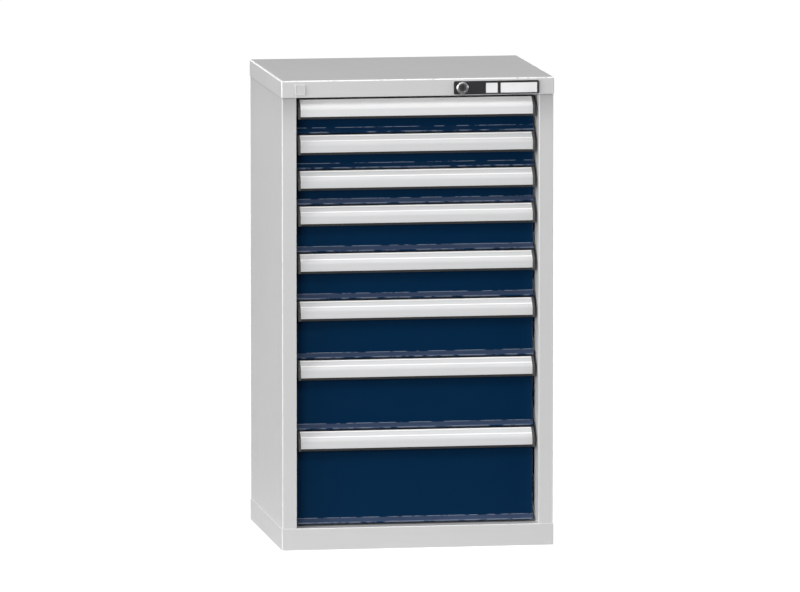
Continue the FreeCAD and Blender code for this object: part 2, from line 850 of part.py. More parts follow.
def make_lock_bar(bottoms):
    """Upright flat bar with a window for each drawer's catch and a cross slot for the crank pin."""
    body = new_body("lock_bar")
    window_height = size.catch_height + size.bar_window_play * 2
    window_span = about(lock_across, size.bar_window_width)
    lowest = bottoms[-1] + size.rail_centre - window_height / 2 - size.bar_margin
    slot_low, slot_high = about(pin_height, size.crank_pin_diameter + size.crank_pin_clearance * 2)
    outline = rectangle(*about(lock_across, size.bar_width), lowest, slot_high + size.bar_margin)
    pad(body, "bar", "XZ_Plane", bar_front, bar_rear, outline)
    # The pin swings outwards from its place at rest by the share of its arc beyond the chord
    swing = size.crank_arm * (math.sqrt(2) - 1)
    reach = size.crank_pin_diameter / 2 + size.crank_pin_clearance
    cuts = [rectangle(pin_across - swing - reach, pin_across + reach, slot_low, slot_high)]
    for bottom in bottoms:
        cuts.append(rectangle(*window_span, *about(bottom + size.rail_centre, window_height)))
    pocket(body, "windows_and_slot", "XZ_Plane", bar_front - OVERRUN, bar_rear + OVERRUN, *cuts)
    return body


def make_lock_brackets(bottoms):
    """Three guides that hold the lock bar to the back panel, and the shaft's bearing."""
    pieces = []
    centres = [bottom + size.rail_centre for bottom in bottoms]
    guide_heights = {
        "upper": centres[0] + size.slot_pitch * 1.5,
        "middle": (centres[4] + centres[5]) / 2,
        "lower": (centres[6] + centres[7]) / 2,
    }
    opening = size.bar_width + size.bar_clearance * 2
    opening_front = bar_front - size.bar_clearance
    opening_rear = bar_rear + size.bar_clearance
    outer = opening + size.guide_side_wall * 2
    for name, height in guide_heights.items():
        guide = new_body(f"{name}_bar_guide")
        pad(
            guide, "guide", "XY_Plane", *about(height, size.guide_height),
            rectangle(*about(lock_across, outer), opening_front - size.guide_wall, back_inside),
            rectangle(*about(lock_across, opening), opening_front, opening_rear),
            rectangle(
                *about(lock_across, outer - size.guide_wall * 2),
                opening_rear + size.guide_wall, back_inside - size.guide_wall,
            ),
        )
        pieces.append(guide)

    hanger = new_body("shaft_hanger")
    plate = back_inside - size.hanger_setback
    path = [
        (plate, lock_height - size.hanger_drop),
        (plate, cover_underside),
        (plate + size.hanger_flange, cover_underside),
    ]
    section = folded(path, -size.guide_wall)
    pad(hanger, "hanger", "YZ_Plane", *about(lock_across, size.hanger_width), section)
    bearing = Circle(lock_across, lock_height, size.shaft_diameter + size.shaft_clearance * 2)
    pocket(hanger, "bearing", "XZ_Plane", plate - OVERRUN, plate + size.guide_wall + OVERRUN, bearing)
    pieces.append(hanger)
    return group("lock_brackets", pieces)


def make_drawer(number, bottom, height):
    """The five sub-parts of one drawer, of which the slide members travel on their own."""
    name = f"drawer_{number}"
    top = height - size.tray_headroom
    tray = [
        make_tray_pan(number, bottom, top),
        make_tray_wall("front", number, bottom, top, tray_front, tray_front + size.tray_sheet),
        make_tray_wall("rear", number, bottom, top, tray_rear - size.tray_sheet, tray_rear),
        make_drawer_runner(LEFT, number, bottom),
        make_drawer_runner(RIGHT, number, bottom),
        make_lock_catch(number, bottom),
    ]
    grip, strip = make_handle(number, bottom, height)
    members = make_slide_member(LEFT, number, bottom) + make_slide_member(RIGHT, number, bottom)
    return [
        group(f"{name}_tray", tray),
        make_drawer_front(number, bottom, height),
        group(f"{name}_grip", grip),
        strip,
        group(f"{name}_slide_mids", members),
    ]


def make_cabinet():
    """Every sub-part of the cabinet, carcass first."""
    bottoms = drawer_bottoms()
    nodes = [make_base_plinth(), make_back_panel(), make_top_cover()]
    for side in (LEFT, RIGHT):
        nodes.append(make_side_panel(side))
        nodes.append(make_upright(side, "front", front_slots))
        nodes.append(make_upright(side, "rear", rear_slots))
        rails = [make_cabinet_rail(side, number, bottom) for number, bottom in enumerate(bottoms, start=1)]
        nodes.append(group(f"cabinet_rails_{SIDE_NAMES[side]}", rails))
    nodes += [
        make_lock_bezel(),
        make_label_plates(),
        make_badge_plate(),
        make_lock_cylinder(),
        make_lock_plug(),
        make_lock_shaft(),
        make_lock_crank(),
        make_lock_bar(bottoms),
        make_lock_brackets(bottoms),
    ]
    for number, (bottom, steps) in enumerate(zip(bottoms, DRAWER_STEPS), start=1):
        nodes += make_drawer(number, bottom, size.slot_pitch * steps)
    return nodes


def check_document(nodes):
    """Stop if an object failed, a cut removed nothing or a sub-part is not made of sound solids."""
    for item in doc.Objects:
        if "Invalid" in item.State or "Error" in item.State:
            raise RuntimeError(f"{item.Label} could not be built: {item.State}")
        if item.TypeId == "PartDesign::Pocket":
            if item.Shape.Volume >= item.BaseFeature.Shape.Volume - 1e-6:
                raise RuntimeError(f"{item.Label} cuts nothing")
    for node in nodes:
        if node.Shape.isNull() or not node.Shape.isValid() or not node.Shape.Solids:
            raise RuntimeError(f"{node.Label} has no sound shape")


def export_nodes(nodes):
    """Write each sub-part to a file with its own name."""
    os.makedirs("parts", exist_ok=True)
    for node in nodes:
        node.Shape.exportStep(f"parts/{node.Label}.step")
        box = node.Shape.BoundBox
        limits = (box.XMin, box.XMax, box.YMin, box.YMax, box.ZMin, box.ZMax)
        reach = " ".join(f"{limit:.1f}" for limit in limits)
        print(f"{node.Label}: {len(node.Shape.Solids)} solids, {reach}")


def main():
    """Build the cabinet, check it and write its sub-parts."""
    nodes = make_cabinet()
    doc.recompute()
    check_document(nodes)
    export_nodes(nodes)


main()
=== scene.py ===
"""Studio scene of a free-standing steel drawer cabinet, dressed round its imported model.

Sizes are in millimetres until a mesh is made, and the origin is the middle of the footprint on the
floor, with +X to the right, +Z up and the drawers opening towards -Y. The sizes in a finish and in
the studio are in metres.
"""

import logging
import math
from collections.abc import Callable, Iterable, Mapping, Sequence
from dataclasses import dataclass, replace
from enum import Enum

import bmesh
import bpy
from mathutils import Matrix, Vector
from mathutils.geometry import delaunay_2d_cdt

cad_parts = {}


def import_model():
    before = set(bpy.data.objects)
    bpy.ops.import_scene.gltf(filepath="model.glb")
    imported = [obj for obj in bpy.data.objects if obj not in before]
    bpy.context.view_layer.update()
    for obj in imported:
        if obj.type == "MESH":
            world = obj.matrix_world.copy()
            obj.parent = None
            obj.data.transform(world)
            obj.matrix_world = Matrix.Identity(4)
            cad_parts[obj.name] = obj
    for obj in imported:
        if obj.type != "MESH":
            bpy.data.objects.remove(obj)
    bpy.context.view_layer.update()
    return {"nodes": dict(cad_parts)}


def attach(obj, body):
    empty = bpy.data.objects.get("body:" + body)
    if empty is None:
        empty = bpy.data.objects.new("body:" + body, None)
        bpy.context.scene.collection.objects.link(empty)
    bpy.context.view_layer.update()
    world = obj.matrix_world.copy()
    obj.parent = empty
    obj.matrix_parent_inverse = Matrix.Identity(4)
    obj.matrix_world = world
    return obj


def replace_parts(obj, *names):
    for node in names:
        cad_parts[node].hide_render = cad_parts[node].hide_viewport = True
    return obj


LOG = logging.getLogger("drawer_cabinet")

Point = tuple[float, float]
Place = tuple[float, float, float]
Colour = tuple[float, float, float]
Corner = bmesh.types.BMVert
Socket = bpy.types.NodeSocket
Piece = bpy.types.Object

MM = 0.001
# A crossing that lies nearer than this to a path's own point gets no point of its own
SAME_POINT = 1e-6
# Vertices that lie nearer than this fall together
MERGED = 1e-7
# Faces that would coincide are kept apart by this
HAIR = 0.02
# The mesh attribute that marks eased edges and bends, where finishes paint wear and edge highlights
WEAR_AND_HIGHLIGHT = "edge_wear"
# A facet narrower than this belongs to a bend, which takes the edge marks of wear and painted highlight
BEND_FACET = 1.05
# An edge sharper than this, in degrees, is eased
SHARP = 35
WHITE = (1.0, 1.0, 1.0)


class Axis(Enum):
    """The axis that a section is drawn out along."""

    X = "x"
    Y = "y"
    Z = "z"

    def place(self, along: float, across: float, up: float) -> Place:
        """Turns a place along the axis and a point of the section into a point in space.

        Args:
            along: The place along the axis.
            across: The section's first coordinate.
            up: The section's second coordinate.

        Returns:
            The point in space.
        """
        if self is Axis.X:
            return along, across, up
        if self is Axis.Y:
            return across, along, up
        return across, up, along


class Side(Enum):
    """One side of the cabinet, with the sign of its x."""

    LEFT = -1
    RIGHT = 1

    @property
    def label(self) -> str:
        """The side's name in lower case."""
        return self.name.lower()

    def mirror(self, path: Sequence[Point]) -> list[Point]:
        """A path given for the right side, on this side."""
        return [(across * self.value, up) for across, up in path]

    def span(self, near: float, far: float) -> Point:
        """A stretch given outwards from the middle, on this side."""
        return (near, far) if self is Side.RIGHT else (-far, -near)


# Plane geometry


def heading(start: Point, end: Point) -> Point:
    """The unit direction from one point to another."""
    length = math.hypot(end[0] - start[0], end[1] - start[1])
    return (end[0] - start[0]) / length, (end[1] - start[1]) / length


def moved(point: Point, distance: float, direction: Point) -> Point:
    """A point moved by a distance along a direction."""
    return point[0] + distance * direction[0], point[1] + distance * direction[1]


def set_in(path: Sequence[Point], distance: float) -> list[Point]:
    """Moves a path to the left of its run, with mitred corners.

    Args:
        path: The points of the path.
        distance: How far it moves to the left.

    Returns:
        As many points as the path has.
    """
    runs = [heading(start, end) for start, end in zip(path, path[1:])]
    normals = [(-up, across) for across, up in runs]
    result = []
    for index, point in enumerate(path):
        before = normals[max(index - 1, 0)]
        after = normals[min(index, len(normals) - 1)]
        share = 1 + before[0] * after[0] + before[1] * after[1]
        mitre = ((before[0] + after[0]) / share, (before[1] + after[1]) / share)
        result.append(moved(point, distance, mitre))
    return result


def bend(before: Point, corner: Point, after: Point, radius: float, steps: int) -> list[Point]:
    """Rounds one corner of a path.

    Args:
        before: The path's point before the corner.
        corner: The corner itself.
        after: The path's point after the corner.
        radius: The radius of the bend.
        steps: The number of chords along the bend.

    Returns:
        The points of the bend, its two ends among them.
    """
    back, onward = heading(corner, before), heading(corner, after)
    half = math.acos(max(-1.0, min(1.0, back[0] * onward[0] + back[1] * onward[1]))) / 2
    trim, reach = radius / math.tan(half), radius / math.sin(half)
    middle = heading((0.0, 0.0), (back[0] + onward[0], back[1] + onward[1]))
    centre = moved(corner, reach, middle)
    start, end = moved(corner, trim, back), moved(corner, trim, onward)
    first = math.atan2(start[1] - centre[1], start[0] - centre[0])
    sweep = math.atan2(end[1] - centre[1], end[0] - centre[0]) - first
    sweep = (sweep + math.pi) % (2 * math.pi) - math.pi
    turns = [first + sweep * step / steps for step in range(steps + 1)]
    return [moved(centre, radius, (math.cos(turn), math.sin(turn))) for turn in turns]


def rounded(path: Sequence[Point], radii: Sequence[float], steps: int = 6) -> list[Point]:
    """Rounds the inner corners of an open path.

    Args:
        path: The path with sharp corners.
        radii: One radius for each corner between its ends, 0 for a corner that stays sharp.
        steps: The number of chords along each bend.

    Returns:
        The points of the rounded path.
    """
    result = [path[0]]
    for before, corner, after, radius in zip(path, path[1:], path[2:], radii):
        result += bend(before, corner, after, radius, steps) if radius > 0 else [corner]
    result.append(path[-1])
    return result


def rounded_loop(loop: Sequence[Point], radii: dict[int, float], steps: int = 5) -> list[Point]:
    """Rounds some corners of a closed outline.

    Args:
        loop: The outline's corners.
        radii: The radius of each corner that is rounded, by its index.
        steps: The number of chords along each bend.

    Returns:
        The points of the rounded outline.
    """
    result: list[Point] = []
    for index, corner in enumerate(loop):
        if radii.get(index, 0) > 0:
            after = loop[(index + 1) % len(loop)]
            result += bend(loop[index - 1], corner, after, radii[index], steps)
        else:
            result.append(corner)
    return result


def rectangle(
    left: float, right: float, bottom: float, top: float, radius: float = 0.0, steps: int = 6
) -> list[Point]:
    """The outline of a rectangle, with its corners rounded if a radius is given."""
    corners = [(left, bottom), (right, bottom), (right, top), (left, top)]
    return rounded_loop(corners, dict.fromkeys(range(4), radius), steps)


def circle(centre: Point, radius: float, steps: int = 64) -> list[Point]:
    """The outline of a circle."""
    turns = [2 * math.pi * step / steps for step in range(steps)]
    return [moved(centre, radius, (math.cos(turn), math.sin(turn))) for turn in turns]


def between(path: Sequence[Point], limits: Iterable[float], coordinate: int) -> list[Point]:
    """Adds points to a path where it crosses given values of one coordinate.

    Args:
        path: The path.
        limits: The values at which it gets a point.
        coordinate: 0 or 1, for the coordinate that the values belong to.

    Returns:
        The path with the added points.
    """
    result = [path[0]]
    for start, end in zip(path, path[1:]):
        low, high = start[coordinate], end[coordinate]
        least, most = min(low, high) + SAME_POINT, max(low, high) - SAME_POINT
        run = (end[0] - start[0], end[1] - start[1])
        cuts = sorted((limit - low) / (high - low) for limit in limits if least < limit < most)
        result += [moved(start, cut, run) for cut in cuts]
        result.append(end)
    return result


def encloses(loop: Sequence[Point], point: Point) -> bool:
    """Tells whether a point lies inside a closed outline.

    Args:
        loop: The outline.
        point: The point.

    Returns:
        True if the outline goes round the point.
    """
    inside = False
    for (across, up), (next_across, next_up) in zip(loop, [*loop[1:], loop[0]]):
        if (up > point[1]) != (next_up > point[1]):
            crossing = across + (point[1] - up) / (next_up - up) * (next_across - across)
            inside ^= point[0] < crossing
    return inside


@dataclass(frozen=True)
class Opening:
    """A rectangular opening in a sheet: its reach along the sheet's length and up its section."""

    start: float
    end: float
    low: float
    high: float

    def holds(self, along: float, up: float) -> bool:
        """Whether a place on the sheet lies in the opening."""
        return self.start < along < self.end and self.low < up < self.high


# Mesh making


class Shape:
    """A mesh that is built up from sheets, plates, turned rings and pans, in millimetres."""

    # The facets round a rod
    ROD_FACETS = 40
    # How far broad faces rule the shading normals that they share with narrow ones, where 50 is evenly
    BROAD_WEIGHT = 60

    def __init__(self) -> None:
        """Starts an empty mesh."""
        self.mesh = bmesh.new()
        self.wear = self.mesh.faces.layers.float.new(WEAR_AND_HIGHLIGHT)

    def corner(self, place: Place) -> Corner:
        """Adds one vertex."""
        return self.mesh.verts.new(Vector(place) * MM)

    def face(self, corners: Sequence[Corner], flat: bool = False) -> None:
        """Adds one face, unless its corners fall together.

        Args:
            corners: Its vertices in order.
            flat: Whether it is part of a flat end. Otherwise a narrow one is marked as a facet of a bend,
            for edge wear and painted highlight.
        """
        if len(set(corners)) == len(corners) > 2:
            face = self.mesh.faces.new(corners)
            width = min(line.calc_length() for line in face.edges)
            face[self.wear] = float(not flat and width < BEND_FACET * MM)

    def sheet(
        self,
        path: Sequence[Point],
        thickness: float,
        axis: Axis,
        start: float,
        end: float,
        openings: Sequence[Opening] = (),
    ) -> "Shape":
        """Adds a folded sheet.

        Args:
            path: One face of the sheet in section, bends included.
            thickness: The sheet's thickness, to the left of the path, or to its right if negative.
            axis: The axis that the section is drawn out along.
            start: Where the sheet starts along the axis.
            end: Where it ends.
            openings: Openings cut through the sheet.

        Returns:
            The shape itself.
        """
        stations = sorted({start, end, *(edge for cut in openings for edge in (cut.start, cut.end))})
        layers = [
            [[self.corner(axis.place(along, *point)) for point in line] for along in stations]
            for line in (path, set_in(path, thickness))
        ]
        heights = [(one[1] + other[1]) / 2 for one, other in zip(path, path[1:])]
        solid = set()
        for row, (low, high) in enumerate(zip(stations, stations[1:])):
            for column, height in enumerate(heights):
                if not any(cut.holds((low + high) / 2, height) for cut in openings):
                    solid.add((row, column))
        for row, column in solid:
            ends = ((row, column), (row, column + 1), (row + 1, column + 1), (row + 1, column))
            face, back = ([layer[along][across] for along, across in ends] for layer in layers)
            self.face(face)
            self.face(back)
            rims = (
                ((row - 1, column), 0, 1),
                ((row + 1, column), 3, 2),
                ((row, column - 1), 0, 3),
                ((row, column + 1), 1, 2),
            )
            for neighbour, one, other in rims:
                if neighbour not in solid:
                    self.face((face[one], face[other], back[other], back[one]))
        return self

    def plate(
        self,
        outline: Sequence[Point],
        axis: Axis,
        start: float,
        end: float,
        holes: Sequence[Sequence[Point]] = (),
        pockets: Sequence[tuple[Sequence[Point], float]] = (),
    ) -> "Shape":
        """Adds a flat plate or any other prism.

        Args:
            outline: The plate's outline.
            axis: The axis across the plate.
            start: The place of the face that the pockets are sunk into.
            end: The place of the opposite face.
            holes: Outlines of holes that go right through.
            pockets: Outlines of sunk pockets, each with the place of its floor.

        Returns:
            The shape itself.
        """
        sunk = [loop for loop, _ in pockets]
        near = self.cap(outline, [*holes, *sunk], axis, start)
        far = self.cap(outline, holes, axis, end)
        for loop in (outline, *holes):
            self.wall(near, far, loop)
        for loop, floor in pockets:
            self.wall(near, self.cap(loop, (), axis, floor), loop)
        return self

    def cap(
        self, outline: Sequence[Point], holes: Sequence[Sequence[Point]], axis: Axis, along: float
    ) -> dict[Point, Corner]:
        """Fills an outline by flat faces and leaves its holes open.

        Args:
            outline: The outline.
            holes: The outlines of its holes.
            axis: The axis across the cap.
            along: The cap's place along the axis.

        Returns:
            The cap's vertices by their points in section.
        """
        loops = [outline, *holes]
        points = [point for loop in loops for point in loop]
        edges, first = [], 0
        for loop in loops:
            edges += [(first + index, first + (index + 1) % len(loop)) for index in range(len(loop))]
            first += len(loop)
        plane = [Vector(point) for point in points]
        spots, _, faces, sources = delaunay_2d_cdt(plane, edges, [], 1, MERGED)[:4]
        corners: list[Corner] = []
        known: dict[Point, Corner] = {}
        for spot, origins in zip(spots, sources):
            corner = self.corner(axis.place(along, spot.x, spot.y))
            corners.append(corner)
            known.update({points[origin]: corner for origin in origins})
        for face in faces:
            middle = sum((spots[index] for index in face), Vector((0.0, 0.0))) / len(face)
            if not any(encloses(hole, middle) for hole in holes):
                self.face([corners[index] for index in face], flat=True)
        return known

    def wall(self, near: dict[Point, Corner], far: dict[Point, Corner], loop: Sequence[Point]) -> None:
        """Joins two caps along a loop."""
        for one, other in zip(loop, [*loop[1:], loop[0]]):
            self.face((near[one], near[other], far[other], far[one]))

    def loft(self, loops: Sequence[Sequence[Place]], closed: bool = False) -> "Shape":
        """Adds a skin through rings of equal count.

        Args:
            loops: The rings, each a closed loop of points.
            closed: Whether the last ring joins the first one; otherwise both ends are filled.

        Returns:
            The shape itself.
        """
        rings = [[self.corner(place) for place in loop] for loop in loops]
        pairs = list(zip(rings, rings[1:])) + ([(rings[-1], rings[0])] if closed else [])
        for lower, upper in pairs:
            for index in range(len(lower)):
                other = (index + 1) % len(lower)
                self.face((lower[index], lower[other], upper[other], upper[index]))
        if not closed:
            self.face(rings[0], flat=True)
            self.face(rings[-1], flat=True)
        return self

    def turned(self, profile: Sequence[Point], axis: Axis, centre: Point, steps: int = 64) -> "Shape":
        """Adds a turned ring.

        Args:
            profile: A closed outline of radius and place along the axis.
            axis: The axis of turning.
            centre: Where the axis stands in the plane across it.
            steps: The number of facets round it.

        Returns:
            The shape itself.
        """
        loops = []
        for radius, along in profile:
            loops.append([axis.place(along, *point) for point in circle(centre, radius, steps)])
        return self.loft(loops, closed=True)

    def rod(
        self, axis: Axis, start: float, end: float, centre: Point, radius: float, edge: float = 0.3
    ) -> "Shape":
        """Adds a solid round rod with a small chamfer at both ends.

        Args:
            axis: The rod's axis.
            start: Where it starts along the axis.
            end: Where it ends.
            centre: Where the axis stands in the plane across it.
            radius: The rod's radius.
            edge: The size of the chamfers.

        Returns:
            The shape itself.
        """
        rise = math.copysign(edge, end - start)
        tip = radius - edge
        loops = []
        for along, size in ((start, tip), (start + rise, radius), (end - rise, radius), (end, tip)):
            loops.append([axis.place(along, *point) for point in circle(centre, size, self.ROD_FACETS)])
        return self.loft(loops)

    def fade(self, share: float, held: Callable[[Vector], bool]) -> "Shape":
        """Lessens the edge marks of wear and painted highlight on some faces.

        Args:
            share: What is left of their marks.
            held: Tells by the middle of a face, in millimetres, whether it is one of them.

        Returns:
            The shape itself.
        """
        for face in self.mesh.faces:
            if held(face.calc_center_median() / MM):
                face[self.wear] *= share
        return self

    def ease(self, radius: float, rounds: int) -> None:
        """Rounds the sharp edges and marks their facets for edge wear and painted highlight.

        Args:
            radius: The radius of the eased edges.
            rounds: The number of chords in each of them.
        """
        angle = math.radians(SHARP)
        pairs = [line for line in self.mesh.edges if len(line.link_faces) == 2]
        eased = bmesh.ops.bevel(
            self.mesh, geom=[line for line in pairs if line.calc_face_angle() > angle],
            offset=radius * MM, offset_type="OFFSET", segments=rounds, profile=0.5, affect="EDGES",
            clamp_overlap=True,
        )
        for face in eased["faces"]:
            face[self.wear] = 1.0

    def piece(self, name: str, finish: "Finish", body: str, edge: float = 0.25, rounds: int = 2) -> Piece:
        """Ends the shape: eases its sharp edges, shades it and puts it on its body.

        Args:
            name: The name of the piece.
            finish: The finish that it is dressed in.
            body: The body that it moves with.
            edge: The radius of its eased edges.
            rounds: The number of chords in each eased edge.

        Returns:
            The piece.
        """
        mesh = self.mesh
        bmesh.ops.remove_doubles(mesh, verts=mesh.verts[:], dist=MERGED)
        loose = [corner for corner in mesh.verts if not corner.link_faces]
        bmesh.ops.delete(mesh, geom=loose, context="VERTS")
        bmesh.ops.recalc_face_normals(mesh, faces=mesh.faces[:])
        self.ease(edge, rounds)
        data = bpy.data.meshes.new(name)
        mesh.to_mesh(data)
        mesh.free()
        data.shade_smooth()
        piece = bpy.data.objects.new(name, data)
        bpy.context.scene.collection.objects.link(piece)
        soften = piece.modifiers.new("face_weighted_normals", "WEIGHTED_NORMAL")
        soften.keep_sharp = True
        soften.weight = self.BROAD_WEIGHT
        data.materials.append(finish.material())
        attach(piece, body)
        return piece


# Shader nodes


@dataclass(frozen=True)
class Noise:
    """Soft noise in a finish: its bumps per metre, its octaves and the range that it is taken to.

    The span is the part of the noise's own values that is taken to that range. Most of them lie
    between 0.3 and 0.7.
    """

    scale: float
    detail: float
    swing: Point
    span: Point = (0.3, 0.7)


def broken(scale: float, low: float, high: float) -> Noise:
    """The noise that breaks an edge's wear and painted highlight into marks, at full strength only where it
    is over high.
    """
    return Noise(scale, 3.0, (0.0, 1.0), (low, high))


class Nodes:
    """A short way to add and join the shader nodes of one material or world."""

    # How much faster than along x the noise is shifted along y and z from piece to piece
    SHIFTS = (7.3, 3.1)

    def __init__(self, tree: bpy.types.NodeTree) -> None:
        """Starts from an empty tree."""
        self.tree = tree
        tree.nodes.clear()

    def feed(self, socket: Socket, value: object) -> None:
        """Joins an output to an input, or sets the input to a value.

        Args:
            socket: The input.
            value: The output that it is joined to, or else its number, vector or colour.
        """
        if isinstance(value, Socket):
            self.tree.links.new(value, socket)
        elif socket.type == "RGBA":
            socket.default_value = (*value, 1.0)
        else:
            socket.default_value = value

    def add(self, kind: str, settings: dict[str, object] | None = None, **inputs: object) -> bpy.types.Node:
        """Adds a node.

        Args:
            kind: The node's type without the ShaderNode in front.
            settings: Values of the node's own properties.
            inputs: A number, colour or output for each input, by its name with _ for spaces.

        Returns:
            The node.
        """
        node = self.tree.nodes.new(f"ShaderNode{kind}")
        for key, value in (settings or {}).items():
            setattr(node, key, value)
        for key, value in inputs.items():
            self.feed(node.inputs[key.replace("_", " ")], value)
        return node

    def maths(self, operation: str, one: object, other: object = 0.0) -> Socket:
        """Calculates with one or two numbers.

        Args:
            operation: The name of the calculation.
            one: The first number or an output.
            other: The second number or an output.

        Returns:
            The result.
        """
        node = self.add("Math", {"operation": operation})
        for socket, value in zip(node.inputs, (one, other)):
            self.feed(socket, value)
        return node.outputs[0]

    def vector(self, operation: str, one: object, other: object = (0.0, 0.0, 0.0)) -> bpy.types.Node:
        """Calculates with one or two vectors.

        Args:
            operation: The name of the calculation.
            one: The first vector or an output.
            other: The second vector or an output.

        Returns:
            The node with the result.
        """
        node = self.add("VectorMath", {"operation": operation})
        for socket, value in zip(node.inputs, (one, other)):
            self.feed(socket, value)
        return node

    def blend(self, share: object, one: object, other: object, way: str = "MIX") -> Socket:
        """Blends two colours.

        Args:
            share: The second colour's share, from 0 to 1.
            one: The first colour or an output.
            other: The second colour or an output.
            way: How the two are blended.

        Returns:
            The blended colour.
        """
        node = self.add("Mix", {"data_type": "RGBA", "blend_type": way, "clamp_factor": True})
        for index, value in ((0, share), (6, one), (7, other)):
            self.feed(node.inputs[index], value)
        return node.outputs[2]

    def grey(self, tone: Socket) -> Socket:
        """A grey colour made from a number."""
        return self.add("CombineColor", Red=tone, Green=tone, Blue=tone).outputs[0]

    def mottled(self, colour: Colour, tone: Socket) -> Socket:
        """A colour made lighter and darker by a factor."""
        return self.blend(1.0, colour, self.grey(tone), "MULTIPLY")

    def spread(self, value: Socket, low: float, high: float, to_low: float, to_high: float) -> Socket:
        """A number taken from one range to another, and kept within it."""
        ranges = {"From_Min": low, "From_Max": high, "To_Min": to_low, "To_Max": to_high}
        return self.add("MapRange", Value=value, **ranges).outputs[0]

    def parts(self, vector: Socket) -> Mapping[str, Socket]:
        """The three parts of a vector by their letters."""
        return self.add("SeparateXYZ", Vector=vector).outputs

    def facing(self) -> Mapping[str, Socket]:
        """The three parts of the direction in which the surface faces."""
        return self.parts(self.add("NewGeometry").outputs["Normal"])

    def places(self, stretch: Place = (1.0, 1.0, 1.0)) -> Socket:
        """Makes each point's own place on the object, shifted from piece to piece.

        Args:
            stretch: How many times as fine the noise is along each axis.

        Returns:
            The place in metres.
        """
        chance = self.add("ObjectInfo").outputs["Random"]
        aside, up = (self.maths("MULTIPLY", chance, factor) for factor in self.SHIFTS)
        shift = self.add("CombineXYZ", X=chance, Y=aside, Z=up).outputs[0]
        shifted = self.vector("ADD", self.add("TexCoord").outputs["Object"], shift)
        return self.vector("MULTIPLY", shifted.outputs[0], stretch).outputs[0]

    def noise(self, places: Socket, scale: float, detail: float = 2.0) -> Socket:
        """Soft noise of a number of bumps per metre."""
        return self.add("TexNoise", Vector=places, Scale=scale, Detail=detail).outputs[0]

    def vary(self, places: Socket, noise: Noise, about: float = 0.0) -> Socket:
        """Makes a number that swings about a value.

        Args:
            places: The places that the noise is looked up at.
            noise: The noise and the range that it is taken to.
            about: The value that it swings about.

        Returns:
            The number.
        """
        low, high = noise.swing
        return self.spread(
            self.noise(places, noise.scale, noise.detail), *noise.span, about + low, about + high
        )

    def wear(self, places: Socket, marks: Noise) -> Socket:
        """Broken marks along the eased edges."""
        edge = self.add("Attribute", {"attribute_name": WEAR_AND_HIGHLIGHT}).outputs["Fac"]
        return self.maths("MULTIPLY", edge, self.vary(places, marks))

    def bump(self, height: Socket, strength: float, distance: float) -> Socket:
        """A normal that is tilted by a height in metres."""
        return self.add("Bump", Strength=strength, Distance=distance, Height=height).outputs[0]


# Finishes


class Finish:
    """What every finish shares: its material is made once and then used again."""

    name: str
    slot: str

    def material(self) -> bpy.types.Material:
        """Makes the finish's material, or finds it again.

        Returns:
            The material.
        """
        known = bpy.data.materials.get(self.name)
        if known is not None:
            return known
        made = bpy.data.materials.new(self.name)
        made.use_nodes = True
        nodes = Nodes(made.node_tree)
        nodes.add("OutputMaterial", Surface=self.shade(nodes).outputs[0])
        return made

    def shade(self, nodes: Nodes) -> bpy.types.Node:
        """Builds the finish's shader."""
        raise NotImplementedError


